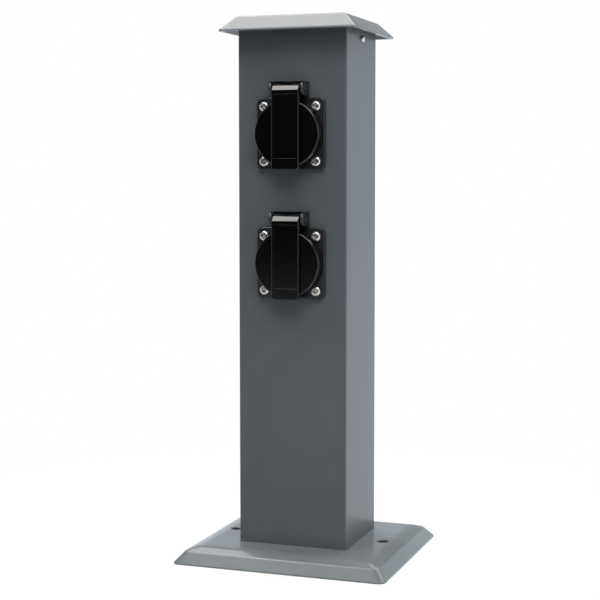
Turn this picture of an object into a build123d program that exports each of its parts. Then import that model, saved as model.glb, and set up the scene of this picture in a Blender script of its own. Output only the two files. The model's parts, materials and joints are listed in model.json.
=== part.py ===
from build123d import *
import math
import os

# Garden socket post: a square-cornered steel column on a dished foot, under a hipped hood,
# with two earthed outlets on its front, each behind a sprung lid.
# Millimetres. +Z is up, the outlets face -Y, and the origin is under the middle of the foot.

# Clearances
slip_gap = 0.15
thread_gap = 0.05
pin_gap = 0.08
press_gap = 0.03
screw_gap = 0.2

# How far joined shapes run into each other before they are fused
bite = 0.5

# Column: a folded steel tube
column_width = 80.0
column_depth = 70.0
column_height = 368.2
column_wall = 1.5
column_corner = 2.2
column_least_inner_corner = 0.4
column_tab_reach = 12.0
column_tab_length = 52.0

# Foot: a hollow casting with a bevelled edge and a slightly raised middle
foot_margin_side = 38.0
foot_margin_front = 35.0
foot_lip = 1.6
foot_bevel_rise = 7.4
foot_bevel_inset = 6.5
foot_crown_rise = 2.0
foot_crown_inset = 10.5
foot_corner = 5.0
foot_wall = 3.0
foot_side_wall = 2.7
foot_soft_edge = 2.0
foot_rim_width = 1.2
foot_rim_height = 0.9
ground_bolt_radius = 4.0
ground_bolt_chamfer = 1.6
ground_bolt_offset = 16.7
ground_boss_wall = 4.5

# Screws that hold the column on the foot
foot_screw_radius = 2.5
foot_screw_inset_x = 7.5
foot_screw_pitch_y = 40.0
foot_screw_head_radius = 4.4
foot_screw_head_height = 2.8
foot_washer_radius = 5.0
foot_washer_thickness = 1.0
foot_nut_radius = 4.6
foot_nut_height = 4.0

# Hood: a hipped casting with a spigot that drops into the column
hood_overhang_side = 10.0
hood_overhang_front = 15.0
hood_lip = 1.8
hood_slope_inset = 10.0
hood_top_thickness = 5.0
hood_eave_drop = 6.0
hood_wall = 2.5
hood_corner = 2.5
hood_soft_edge = 1.6
spigot_wall = 2.5
spigot_length = 18.0
spigot_corner = 1.5
seal_thickness = 0.8

# Screws that hold the hood, one in each side of the column
hood_screw_radius = 1.5
hood_screw_length = 9.0
hood_screw_drop = 9.7
hood_screw_head_radius = 2.9
hood_screw_head_height = 2.0
hood_screw_boss_radius = 4.0
hood_screw_boss_depth = 5.0

# Outlets
outlet_height = 212.8
outlet_pitch = 90.0
gasket_thickness = 0.8
recess_radius = 19.7
recess_depth = 17.5
collar_height = 5.2
cup_wall = 1.7
cup_gap = 0.5
cup_tail = 7.5
flange_thickness = 2.5
flange_corner = 4.0
flange_edge_distance = 6.0
flange_soft_edge = 0.7
key_width = 4.8
key_depth = 2.1
key_below_rim = 4.0

# Flange screws and nuts
flange_screw_radius = 2.0
flange_screw_length = 10.0
flange_screw_head_radius = 3.5
flange_screw_head_height = 2.3
nut_corner_radius = 4.04
nut_height = 3.2
nut_clearance = 1.43

# Shape of every pan head, as shares of the head's own size
head_rounding = 0.6
drive_depth_share = 0.6
drive_arm_share = 1.15
drive_blade_share = 0.26
drive_turn = 35.0

# Floor of the recess
floor_thickness = 3.5
plug_pin_spacing = 19.0
pin_hole_radius = 2.6
pin_hole_chamfer = 0.5
insert_screw_radius = 1.5
insert_screw_length = 13.0
insert_screw_head_radius = 2.9
insert_screw_head_height = 2.0

# Contact carrier behind the floor
carrier_length = 17.4
carrier_face_gap = 0.1
snap_width = 5.0
snap_height = 0.6
snap_length = 1.6
snap_depth = 2.0

# Contacts and terminals
sleeve_bore = 2.45
sleeve_wall = 0.75
sleeve_length = 14.0
sleeve_slot = 0.8
sleeve_slot_length = 9.0
terminal_offset = 5.9
terminal_width = 6.6
terminal_height = 13.0
terminal_length = 8.0
web_height = 3.0
terminal_screw_radius = 1.5
terminal_screw_length = 5.0
terminal_screw_head_radius = 2.3
terminal_screw_head_height = 1.4
wire_hole_radius = 1.5
wire_hole_offset = 4.2
wire_hole_depth = 4.0
wire_radius = 1.4
wire_entry = 3.0

# Earth bracket
strap_width = 8.0
strap_thickness = 1.2
clip_width = 6.0
clip_wall_gap = 0.7
clip_bulge = 1.7
clip_top_below_rim = 5.1
clip_peak_below_rim = 10.0
clip_foot_below_rim = 15.0
earth_terminal_drop = 12.0
earth_terminal_width = 13.0
earth_terminal_height = 7.0

# Hinge and lid
hinge_above_flange = 6.0
hinge_out = 8.3
hinge_ear_radius = 5.3
hinge_ear_thickness = 2.6
hinge_side_gap = 0.4
hinge_top_wall = 1.4
hinge_stop_gap = 0.3
lid_open_angle = 100.0
hinge_pin_radius = 1.25
hinge_pin_inset = 0.3
knuckle_radius = 3.6
barrel_blend_angle = 27.0
lid_skirt_gap = 0.8
lid_skirt_wall = 1.3
lid_skirt_depth = 3.0
lid_plate = 2.4
lid_rim_gap = 1.1
lid_soft_edge = 0.8
lid_seal_thickness = 0.8
lid_seal_width = 1.6
band_width = 20.0
band_proud = 3.0
band_below_plate = 1.0
band_bevel = 3.0
band_bevel_drop = 1.25
band_tail = 25.0
band_corner = 2.0
panel_width = 16.4
panel_depth = 0.35
panel_above_tail = 8.0
panel_below_pin = 4.0

# Lid spring: a torsion coil on the hinge pin
spring_wire_radius = 0.35
spring_coil_radius = 2.1
spring_turns = 4
spring_span = 6.4
spring_back_leg = 4.3
spring_front_leg = 5.0
spring_back_angle = 135.0
spring_bay_gap = 0.25
spring_bay_side = 1.3
spring_bay_web = 0.6
spring_pocket_gap = 0.2

# Cable entry in the foot
cable_hole_radius = 12.5
grommet_flange = 3.0
grommet_lip = 1.8
grommet_bore = 5.5
grommet_neck_gap = 0.1
grommet_room = 0.8

# Plate that stands on the foot and carries the clamp and the terminal block
plate_thickness = 1.5
plate_front = 7.0
plate_width = 40.0
plate_height = 101.0
plate_foot = 16.0
plate_screw_radius = 2.0
plate_screw_length = 9.0
plate_screw_spacing = 28.0
plate_screw_head_radius = 3.5
plate_screw_head_height = 2.2
plate_boss_radius = 4.5
plate_boss_length = 4.0

# Cable clamp
clamp_height = 12.0
clamp_lift = 20.0
clamp_width = 32.0
clamp_channel = 5.3
clamp_wall = 4.2
clamp_screw_radius = 2.0
clamp_screw_spacing = 22.0

# Terminal block
block_lift = 73.0
block_height = 20.0
block_width = 36.0
block_depth = 16.0
pole_pitch = 12.0
pole_inset = 8.0
pole_radius = 2.5
pole_bore = 1.6
pole_length = 16.0
pole_screw_radius = 1.4
pole_screw_pitch = 10.0
pole_screw_sunk = 0.6
pole_slot_width = 0.5
pole_slot_depth = 0.8
block_screw_radius = 1.5

# Earth bond to the column
stud_radius = 2.0
stud_length = 9.0
stud_x = -21.0
stud_below_upper = 46.0
lug_thickness = 1.0
lug_ring_radius = 4.2
lug_barrel_radius = 2.2
lug_barrel_length = 6.0
lug_barrel_floor = 1.2
lug_barrel_sunk = 0.4
lug_neck_width = 4.2

# Routes of the inner wires
wire_bend = 7.0
wire_back_y = 17.0
earth_wire_back_y = 22.0
earth_feed_back_y = 12.0
wire_rise = 24.0
wire_cross_rise = 66.0

# Values that follow from the sizes above
foot_height = foot_lip + foot_bevel_rise + foot_crown_rise
foot_width = column_width + 2 * foot_margin_side
foot_depth = column_depth + 2 * foot_margin_front
column_bottom = foot_height
column_top = column_bottom + column_height
hood_ceiling = column_top + seal_thickness
hood_top = hood_ceiling + hood_top_thickness
hood_eave = hood_ceiling - hood_eave_drop
hood_width = column_width + 2 * hood_overhang_side
hood_depth = column_depth + 2 * hood_overhang_front
foot_ceiling = foot_height - foot_wall
inner_width = column_width - 2 * column_wall
inner_depth = column_depth - 2 * column_wall
foot_screw_x = inner_width / 2 - foot_screw_inset_x
upper_height = outlet_height + outlet_pitch

flange_back = gasket_thickness
flange_face = flange_back + flange_thickness
rim = flange_face + collar_height
floor_face = rim - recess_depth
floor_back = floor_face - floor_thickness
cup_radius = recess_radius + cup_wall
cup_rebate = cup_radius - cup_wall / 2
cup_end = floor_face - cup_tail
cutout_radius = cup_radius + cup_gap
screw_circle = cup_radius + nut_clearance + nut_corner_radius
screw_offset = screw_circle / math.sqrt(2)
flange_size = 2 * (screw_offset + flange_edge_distance)
flange_hole = flange_screw_radius + screw_gap
carrier_radius = cup_rebate - slip_gap
carrier_face = floor_back - carrier_face_gap
carrier_back = carrier_face - carrier_length
plug_pin_x = plug_pin_spacing / 2
sleeve_radius = sleeve_bore + sleeve_wall
terminal_x = plug_pin_x + terminal_offset
strap_face = carrier_face - slip_gap
strap_back = strap_face - strap_thickness
sleeve_face = carrier_face - 2 * slip_gap
sleeve_back = sleeve_face - sleeve_length
terminal_back = sleeve_back + slip_gap
terminal_face = terminal_back + terminal_length
earth_terminal_back = strap_back - terminal_length

hinge_up = flange_size / 2 + hinge_above_flange
lid_inner_radius = cup_radius + lid_skirt_gap
lid_radius = lid_inner_radius + lid_skirt_wall
lid_back = rim + lid_rim_gap
lid_face = lid_back + lid_plate
band_face = lid_face + band_proud
band_back = lid_face - band_below_plate
slot_width = band_width + 2 * hinge_side_gap
hinge_width = slot_width + 2 * hinge_ear_thickness
hinge_top = hinge_up + hinge_ear_radius
spring_bay_radius = spring_coil_radius + spring_wire_radius + spring_bay_gap
spring_bay_width = spring_span + 2 * spring_bay_side
spring_arcs = 4 * spring_turns + 1
spring_arc_angle = (180.0 - spring_back_angle + 360.0 * spring_turns) / spring_arcs
spring_advance = spring_span / spring_arcs
spring_slope = spring_advance / (spring_coil_radius * math.radians(spring_arc_angle))


def rounded_block(width, depth, corner, bottom, top):
    """An upright block with rounded corners between two heights."""
    outline = Pos(0, 0, bottom) * RectangleRounded(width, depth, corner)
    return extrude(outline, amount=top - bottom)


def tapered_block(lower, upper, corner, bottom, top):
    """A block whose rectangle changes from lower to upper on the way up."""
    below = Pos(0, 0, bottom) * RectangleRounded(lower[0], lower[1], corner)
    above = Pos(0, 0, top) * RectangleRounded(upper[0], upper[1], corner)
    return loft([below, above], ruled=True)


def rod(radius, bottom, top, x=0.0, y=0.0):
    """A round bar along Z between two heights."""
    return extrude(Pos(x, y, bottom) * Circle(radius), amount=top - bottom)


def slab(x0, x1, y0, y1, z0, z1):
    """A box between two corners."""
    middle = Pos((x0 + x1) / 2, (y0 + y1) / 2, (z0 + z1) / 2)
    return middle * Box(x1 - x0, y1 - y0, z1 - z0)


def side_profile(points, half_width):
    """A prism along X whose outline is given as (y, z) points."""
    outline = Plane.YZ * make_face(Polyline(*points, close=True))
    return extrude(outline, amount=half_width, both=True)


def cross_rod(radius, half_length, y, z):
    """A round bar along X, centred on X."""
    return extrude(Plane.YZ * Pos(y, z) * Circle(radius), amount=half_length, both=True)


def pan_screw(radius, length, head_radius, head_height):
    """A domed screw with a cross recess: its head stands on Z 0 and its shank goes down."""
    head = rod(head_radius, 0.0, head_height)
    head = fillet(head.faces().sort_by(Axis.Z)[-1].edges(), head_height * head_rounding)
    drive_depth = head_height * drive_depth_share
    arm = head_radius * drive_arm_share
    blade = head_radius * drive_blade_share
    drive = Box(arm, blade, drive_depth) + Box(blade, arm, drive_depth)
    head -= Pos(0, 0, head_height - drive_depth / 2) * drive
    return head + rod(radius, -length, 0.0)


def hex_nut(corner_radius, height, bore):
    """A nut that stands on Z 0."""
    return extrude(RegularPolygon(corner_radius, 6) - Circle(bore), amount=height)


def on_front(shape, height):
    """Places a piece drawn flat, with +Z outwards, on the column's front at a height."""
    return Pos(0, -column_depth / 2, height) * Rot(90, 0, 0) * shape


def group(shapes):
    """Several separate solids as one node."""
    return Compound(children=[solid for shape in shapes for solid in shape.solids()])


def square_corners(offset):
    """The four corners of a square, by their signs and offset."""
    return [(sx * offset, sy * offset) for sx in (-1, 1) for sy in (-1, 1)]


def screw_axis(side, height):
    """Places a screw drawn upright so that it enters one side of the column."""
    return Pos(side * column_width / 2, 0, height) * Rot(0, side * 90, 0)


hood_screw_height = hood_ceiling - hood_screw_drop
foot_screw_places = [
    (sx * foot_screw_x, sy * foot_screw_pitch_y / 2) for sx in (-1, 1) for sy in (-1, 1)
]
ground_bolt_x = column_width / 2 + ground_bolt_offset
plate_screw_y = plate_front + plate_thickness + plate_foot * 0.6
plate_screw_places = [(sx * plate_screw_spacing / 2, plate_screw_y) for sx in (-1, 1)]


def make_column():
    """The tube, with its outlet cut-outs, inner foot tabs and screw holes."""
    inner_corner = max(column_corner - column_wall, column_least_inner_corner)
    outer = rounded_block(column_width, column_depth, column_corner, column_bottom, column_top)
    inner = rounded_block(inner_width, inner_depth, inner_corner, column_bottom, column_top)
    tube = outer - inner
    for side in (-1, 1):
        wall_x = side * (inner_width / 2 + column_wall / 2)
        tip_x = side * (inner_width / 2 - column_tab_reach)
        tab_x = sorted((wall_x, tip_x))
        half = column_tab_length / 2
        tube += slab(*tab_x, -half, half, column_bottom, column_bottom + column_wall)
        bore = rod(hood_screw_radius + screw_gap, -2 * column_wall, column_wall)
        tube -= screw_axis(side, hood_screw_height) * bore
    for x, y in foot_screw_places:
        tube -= rod(foot_screw_radius + screw_gap, column_bottom - 1, column_bottom + 3, x, y)
    for height in (outlet_height, upper_height):
        cutter = rod(cutout_radius, -2 * column_wall, column_wall)
        for x, y in square_corners(screw_offset):
            cutter += rod(flange_hole, -2 * column_wall, column_wall, x, y)
        tube -= on_front(cutter, height)
    return tube


def foot_shape(shrink, drop):
    """The foot's solid outline, made smaller by shrink and lower by drop."""
    wide = foot_width - 2 * shrink
    deep = foot_depth - 2 * shrink
    inset = 2 * foot_bevel_inset
    crown = inset + 2 * foot_crown_inset
    shoulder = foot_lip + foot_bevel_rise - drop
    bottom = foot_lip - drop
    lower = rounded_block(wide, deep, foot_corner, bottom - foot_lip, bottom)
    bevel = tapered_block(
        (wide, deep), (wide - inset, deep - inset), foot_corner, bottom, shoulder
    )
    top = tapered_block(
        (wide - inset, deep - inset),
        (wide - crown, deep - crown),
        foot_corner,
        shoulder,
        shoulder + foot_crown_rise,
    )
    return lower + bevel + top


def make_foot():
    """The hollow casting, its bosses, the rim round the column and its holes."""
    outside = foot_shape(0.0, 0.0)
    shoulder_z = foot_lip + foot_bevel_rise
    shoulder = [e for e in outside.edges() if abs(e.center().Z - shoulder_z) < 0.01]
    outside = fillet(shoulder, foot_soft_edge)
    hollow = foot_shape(foot_side_wall, foot_wall)
    foot = outside - hollow
    rim_wide = column_width + 2 * (slip_gap + foot_rim_width)
    rim_deep = column_depth + 2 * (slip_gap + foot_rim_width)
    rim_corner = column_corner + slip_gap + foot_rim_width
    rim_top = foot_height + foot_rim_height
    rim_block = rounded_block(rim_wide, rim_deep, rim_corner, foot_height - bite, rim_top)
    rim_block -= rounded_block(
        column_width + 2 * slip_gap,
        column_depth + 2 * slip_gap,
        column_corner + slip_gap,
        foot_height - bite,
        rim_top,
    )
    foot += rim_block
    boss_radius = ground_bolt_radius + ground_boss_wall
    for side in (-1, 1):
        x = side * ground_bolt_x
        foot += rod(boss_radius, 0.0, foot_height - foot_wall / 2, x)
        foot -= rod(ground_bolt_radius, -1.0, foot_height + 1.0, x)
        cone = Cone(ground_bolt_radius, ground_bolt_radius + ground_bolt_chamfer, ground_bolt_chamfer)
        foot -= Pos(x, 0, foot_height - ground_bolt_chamfer / 2) * cone
    boss_low = foot_ceiling - plate_boss_length
    for x, y in plate_screw_places:
        foot += rod(plate_boss_radius, boss_low, foot_height - bite, x, y)
        foot -= rod(plate_screw_radius + thread_gap, boss_low - 1, foot_height + 1, x, y)
    for x, y in foot_screw_places:
        foot -= rod(foot_screw_radius + screw_gap, 0.0, foot_height + 1.0, x, y)
    return foot - rod(cable_hole_radius, 0.0, foot_height + 1.0)


def make_hood():
    """The hipped cap, hollow under its eaves, with the spigot inside the column."""
    lip_top = hood_eave + hood_lip
    eave_size = (hood_width, hood_depth)
    top_size = (hood_width - 2 * hood_slope_inset, hood_depth - 2 * hood_slope_inset)
    outside = rounded_block(*eave_size, hood_corner, hood_eave, lip_top)
    outside += tapered_block(eave_size, top_size, hood_corner, lip_top, hood_top)
    top_edges = outside.faces().sort_by(Axis.Z)[-1].edges()
    outside = fillet(top_edges, hood_soft_edge)
    rise = hood_top - lip_top
    lean = hood_slope_inset / rise
    thick = hood_wall * math.sqrt(1 + lean * lean)
    low_cut = 2 * (thick - hood_lip * lean)
    high_cut = low_cut + 2 * lean * hood_eave_drop
    low_size = (hood_width - low_cut, hood_depth - low_cut)
    high_size = (hood_width - high_cut, hood_depth - high_cut)
    hood = outside - tapered_block(low_size, high_size, hood_corner, hood_eave, hood_ceiling)
    spigot_wide = inner_width - 2 * slip_gap
    spigot_deep = inner_depth - 2 * slip_gap
    spigot_bottom = hood_ceiling - spigot_length
    hood += rounded_block(spigot_wide, spigot_deep, spigot_corner, spigot_bottom, hood_ceiling + 1)
    pocket_wide = spigot_wide - 2 * spigot_wall
    pocket_deep = spigot_deep - 2 * spigot_wall
    pocket_top = hood_top - hood_wall
    hood -= rounded_block(pocket_wide, pocket_deep, spigot_corner, spigot_bottom - 1, pocket_top)
    sunk = column_wall + slip_gap
    for side in (-1, 1):
        axis = screw_axis(side, hood_screw_height)
        hood += axis * rod(hood_screw_boss_radius, -sunk - hood_screw_boss_depth, -sunk - bite)
        hood -= axis * rod(hood_screw_radius + thread_gap, -sunk - hood_screw_boss_depth - 1, 1)
    return hood


def make_hood_seal():
    """The strip between the column's top edge and the hood."""
    inner_corner = spigot_corner
    strip = rounded_block(column_width, column_depth, column_corner, column_top, hood_ceiling)
    return strip - rounded_block(inner_width, inner_depth, inner_corner, column_top, hood_ceiling)


def make_hood_screws():
    """One screw in each side."""
    screw = pan_screw(
        hood_screw_radius, hood_screw_length, hood_screw_head_radius, hood_screw_head_height
    )
    return group([screw_axis(side, hood_screw_height) * screw for side in (-1, 1)])


def make_foot_screws():
    """Four screws that rise through the foot into the column's tabs."""
    head_face = foot_ceiling - foot_washer_thickness
    length = column_bottom + column_wall + foot_nut_height + 1.0 - head_face
    screw = pan_screw(
        foot_screw_radius, length, foot_screw_head_radius, foot_screw_head_height
    )
    return group([Pos(x, y, head_face) * Rot(180, 0, 0) * screw for x, y in foot_screw_places])


def make_foot_washers():
    """A washer under each foot screw's head."""
    ring = Circle(foot_washer_radius) - Circle(foot_screw_radius + screw_gap)
    washer = extrude(ring, amount=foot_washer_thickness)
    low = foot_ceiling - foot_washer_thickness
    return group([Pos(x, y, low) * washer for x, y in foot_screw_places])


def make_foot_nuts():
    """A nut welded on each hole of the column's tabs."""
    nut = hex_nut(foot_nut_radius, foot_nut_height, foot_screw_radius + thread_gap)
    low = column_bottom + column_wall
    return group([Pos(x, y, low) * nut for x, y in foot_screw_places])


def make_grommet():
    """The rubber ring in the foot's cable hole, with a lip on each face."""
    neck_radius = cable_hole_radius - grommet_neck_gap
    lip_radius = cable_hole_radius + grommet_flange
    ring = rod(neck_radius, foot_ceiling, foot_height)
    ring += rod(lip_radius, foot_height, foot_height + grommet_lip)
    ring += rod(lip_radius, foot_ceiling - grommet_lip, foot_ceiling)
    return ring - rod(grommet_bore, 0.0, foot_height + 10)


# The housing, drawn flat with +Z outwards and +Y up the column
def make_housing():
    """The flange, the collar round the recess and the hinge ears, in one moulding."""
    outline = Pos(0, 0, flange_back) * RectangleRounded(flange_size, flange_size, flange_corner)
    plate = extrude(outline, amount=flange_thickness)
    plate = fillet(plate.faces().sort_by(Axis.Z)[-1].edges(), flange_soft_edge)
    ear = Circle(hinge_ear_radius)
    arm_height = hinge_out - flange_back
    arm = Pos(0, -arm_height / 2) * Rectangle(2 * hinge_ear_radius, arm_height)
    ears = Plane.YZ * Pos(hinge_up, hinge_out) * (ear + arm)
    block = extrude(ears, amount=hinge_width / 2, both=True)
    block += slab(
        -hinge_width / 2,
        hinge_width / 2,
        flange_size / 2 - 2 * flange_soft_edge,
        hinge_top - hinge_ear_radius / 2,
        flange_back,
        flange_face,
    )
    top_inside = hinge_top - hinge_top_wall
    bevel_reach = (band_face - hinge_out - band_bevel_drop) / math.sqrt(2)
    stop_reach = bevel_reach + hinge_stop_gap
    stop_lean = math.radians(lid_open_angle - 45.0)
    beyond = hinge_top + 1.0
    inner_edge, outer_edge = [
        hinge_out + ((y - hinge_up) * math.cos(stop_lean) - stop_reach) / math.sin(stop_lean)
        for y in (top_inside, beyond)
    ]
    front = hinge_out + hinge_ear_radius + 2.0
    low = hinge_up - hinge_ear_radius - 1.0
    bay = side_profile(
        [
            (low, flange_face),
            (top_inside, flange_face),
            (top_inside, inner_edge),
            (beyond, outer_edge),
            (beyond, front),
            (low, front),
        ],
        slot_width / 2,
    )
    body = plate + (block - bay) + rod(cup_radius, cup_end, rim)
    body -= rod(recess_radius, cup_end - 1, rim + 1)
    body -= rod(cup_rebate, cup_end - 1, floor_face)
    for side in (-1, 1):
        key_x = sorted((side * (recess_radius - key_depth), side * (recess_radius + bite)))
        body += slab(*key_x, -key_width / 2, key_width / 2, floor_face, rim - key_below_rim)
        window_x = sorted((side * (cup_rebate - 1), side * (cup_radius + 1)))
        window_top = carrier_face - snap_depth + slip_gap
        window_low = carrier_face - snap_depth - snap_length - slip_gap
        window_half = snap_width / 2 + slip_gap
        body -= slab(*window_x, -window_half, window_half, window_low, window_top)
    for x, y in square_corners(screw_offset):
        body -= rod(flange_hole, flange_back - 1, flange_face + 1, x, y)
    return body - cross_rod(hinge_pin_radius + press_gap, hinge_width, hinge_up, hinge_out)


def make_gasket():
    """The flat seal between the flange and the column."""
    sheet = rounded_block(flange_size, flange_size, flange_corner, 0.0, gasket_thickness)
    half = hinge_width / 2
    sheet += slab(-half, half, flange_size / 2 - 1, hinge_top, 0.0, gasket_thickness)
    sheet -= rod(cutout_radius, -1.0, 2.0)
    for x, y in square_corners(screw_offset):
        sheet -= rod(flange_hole, -1.0, 2.0, x, y)
    return sheet


clip_y = recess_radius - clip_wall_gap - strap_thickness / 2


def make_insert():
    """The floor of the recess, with two pin holes and two slots for the earth clips."""
    disc = rod(carrier_radius, floor_back, floor_face)
    for side in (-1, 1):
        x = side * plug_pin_x
        disc -= rod(pin_hole_radius, floor_back - 1, floor_face + 1, x)
        mouth = Cone(pin_hole_radius, pin_hole_radius + pin_hole_chamfer, pin_hole_chamfer)
        disc -= Pos(x, 0, floor_face - pin_hole_chamfer / 2) * mouth
        slot_y = sorted(
            (
                side * (clip_y - strap_thickness / 2 - slip_gap),
                side * (clip_y + strap_thickness / 2 + slip_gap),
            )
        )
        half = clip_width / 2 + slip_gap
        disc -= slab(-half, half, *slot_y, floor_back - 1, floor_face + 1)
    head_bore = insert_screw_head_radius + screw_gap
    disc -= rod(head_bore, floor_face - insert_screw_head_height - screw_gap, floor_face + 1)
    return disc - rod(insert_screw_radius + screw_gap, floor_back - 1, floor_face)


def make_carrier():
    """The moulding behind the floor that holds the contacts and their terminals."""
    body = rod(carrier_radius, carrier_back, carrier_face)
    half_strap = strap_width / 2 + slip_gap
    reach = clip_y + strap_thickness / 2 + slip_gap
    body -= slab(-half_strap, half_strap, -reach, reach, strap_back - slip_gap, carrier_face + 1)
    for side in (-1, 1):
        x = side * plug_pin_x
        body -= rod(sleeve_radius + slip_gap, carrier_back - 1, carrier_face + 1, x)
        outer = terminal_x + terminal_width / 2 + slip_gap
        pocket_x = sorted((side * plug_pin_x, side * outer))
        half = terminal_height / 2 + slip_gap
        web_half = web_height / 2 + slip_gap
        pocket_top = terminal_face + slip_gap
        inner = terminal_x - terminal_width / 2 - slip_gap
        box_x = sorted((side * inner, side * outer))
        body -= slab(*box_x, -half, half, carrier_back - 1, pocket_top)
        body -= slab(*pocket_x, -web_half, web_half, carrier_back - 1, pocket_top)
        lug_x = sorted((side * (carrier_radius - 1), side * (carrier_radius + snap_height)))
        lug_top = carrier_face - snap_depth
        body += slab(*lug_x, -snap_width / 2, snap_width / 2, lug_top - snap_length, lug_top)
    half_wide = earth_terminal_width / 2 + slip_gap
    half_tall = earth_terminal_height / 2 + slip_gap
    body -= slab(
        -half_wide,
        half_wide,
        -earth_terminal_drop - half_tall,
        -earth_terminal_drop + half_tall,
        carrier_back - 1,
        strap_back,
    )
    return body - rod(insert_screw_radius + screw_gap, carrier_back - 1, carrier_face + 1)


def make_contact(side):
    """A plug pin's spring sleeve with its screw terminal."""
    x = side * plug_pin_x
    tx = side * terminal_x
    body = rod(sleeve_radius, sleeve_back, sleeve_face, x)
    web_x = sorted((side * plug_pin_x, side * (terminal_x - terminal_width / 2 + bite)))
    body += slab(*web_x, -web_height / 2, web_height / 2, terminal_back, terminal_face)
    half_tall = terminal_height / 2
    half_wide = terminal_width / 2
    body += slab(tx - half_wide, tx + half_wide, -half_tall, half_tall, terminal_back, terminal_face)
    body -= rod(sleeve_bore, sleeve_back - 1, sleeve_face + 1, x)
    slot_low = sleeve_face - sleeve_slot_length
    slot_x = (x - sleeve_slot / 2, x + sleeve_slot / 2)
    reach = sleeve_radius + 1
    body -= slab(*slot_x, -reach, reach, slot_low, sleeve_face + 1)
    for lift in (-1, 1):
        hole_top = terminal_back + wire_hole_depth
        body -= rod(wire_hole_radius, terminal_back - 1, hole_top, tx, lift * wire_hole_offset)
    screw_top = terminal_back + terminal_screw_length + thread_gap
    return body - rod(terminal_screw_radius + thread_gap, terminal_back - 1, screw_top, tx)


def strip_outline(path, thickness):
    """The closed outline of a bent strip: both sides of a path of points, mitred at its bends."""
    sides = ([], [])
    for i, (y, z) in enumerate(path):
        before = path[max(i - 1, 0)]
        after = path[min(i + 1, len(path) - 1)]
        arrive = Vector(y - before[0], z - before[1]).normalized() if i else None
        leave = Vector(after[0] - y, after[1] - z).normalized() if i < len(path) - 1 else None
        arrive = arrive or leave
        leave = leave or arrive
        mean = (arrive + leave).normalized()
        stretch = thickness / 2 / mean.dot(arrive)
        for side, points in zip((1, -1), sides):
            points.append((y - side * mean.Y * stretch, z + side * mean.X * stretch))
    return sides[0] + sides[1][::-1]


def make_earth_bracket():
    """The strap across the back, its two clips inside the recess and its terminal."""
    strap_z = strap_back + strap_thickness / 2
    half_path = [
        (clip_y, strap_z),
        (clip_y, rim - clip_foot_below_rim),
        (clip_y - clip_bulge, rim - clip_peak_below_rim),
        (clip_y, rim - clip_top_below_rim),
    ]
    clip = side_profile(strip_outline(half_path, strap_thickness), clip_width / 2)
    reach = clip_y + strap_thickness / 2
    body = slab(-strap_width / 2, strap_width / 2, -reach, reach, strap_back, strap_face)
    body += clip + mirror(clip, about=Plane.XZ)
    half_wide = earth_terminal_width / 2
    half_tall = earth_terminal_height / 2
    body += slab(
        -half_wide,
        half_wide,
        -earth_terminal_drop - half_tall,
        -earth_terminal_drop + half_tall,
        earth_terminal_back,
        strap_back - slip_gap,
    )
    body += slab(
        -strap_width / 2,
        strap_width / 2,
        -earth_terminal_drop - half_tall,
        -earth_terminal_drop + half_tall,
        strap_back - 2 * slip_gap,
        strap_face,
    )
    for side in (-1, 1):
        hole_top = earth_terminal_back + wire_hole_depth
        x = side * wire_hole_offset
        body -= rod(wire_hole_radius, earth_terminal_back - 1, hole_top, x, -earth_terminal_drop)
    screw_top = earth_terminal_back + terminal_screw_length + thread_gap
    screw_bore = terminal_screw_radius + thread_gap
    body -= rod(screw_bore, earth_terminal_back - 1, screw_top, 0, -earth_terminal_drop)
    return body - rod(insert_screw_radius + thread_gap, strap_back - 1, strap_face + 1)


def make_terminal_screws():
    """The three terminal screws of one outlet."""
    screw = pan_screw(
        terminal_screw_radius,
        terminal_screw_length,
        terminal_screw_head_radius,
        terminal_screw_head_height,
    )
    places = [
        (-terminal_x, 0.0, terminal_back),
        (terminal_x, 0.0, terminal_back),
        (0.0, -earth_terminal_drop, earth_terminal_back),
    ]
    return group([Pos(*place) * Rot(180, 0, 0) * screw for place in places])


def make_insert_screw():
    """The screw in the middle of the recess that pulls floor, carrier and strap together."""
    screw = pan_screw(
        insert_screw_radius,
        insert_screw_length,
        insert_screw_head_radius,
        insert_screw_head_height,
    )
    return Pos(0, 0, floor_face - insert_screw_head_height - screw_gap) * screw


def make_flange_screws():
    """Four screws through the flange and the column wall."""
    screw = pan_screw(
        flange_screw_radius,
        flange_screw_length,
        flange_screw_head_radius,
        flange_screw_head_height,
    )
    corners = square_corners(screw_offset)
    return group(
        [
            Pos(x, y, flange_face) * Rot(0, 0, drive_turn * i) * screw
            for i, (x, y) in enumerate(corners)
        ]
    )


def make_flange_nuts():
    """Four nuts behind the column wall."""
    nut = hex_nut(nut_corner_radius, nut_height, flange_screw_radius + thread_gap)
    low = -column_wall - nut_height
    return group([Pos(x, y, low) * nut for x, y in square_corners(screw_offset)])


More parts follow.
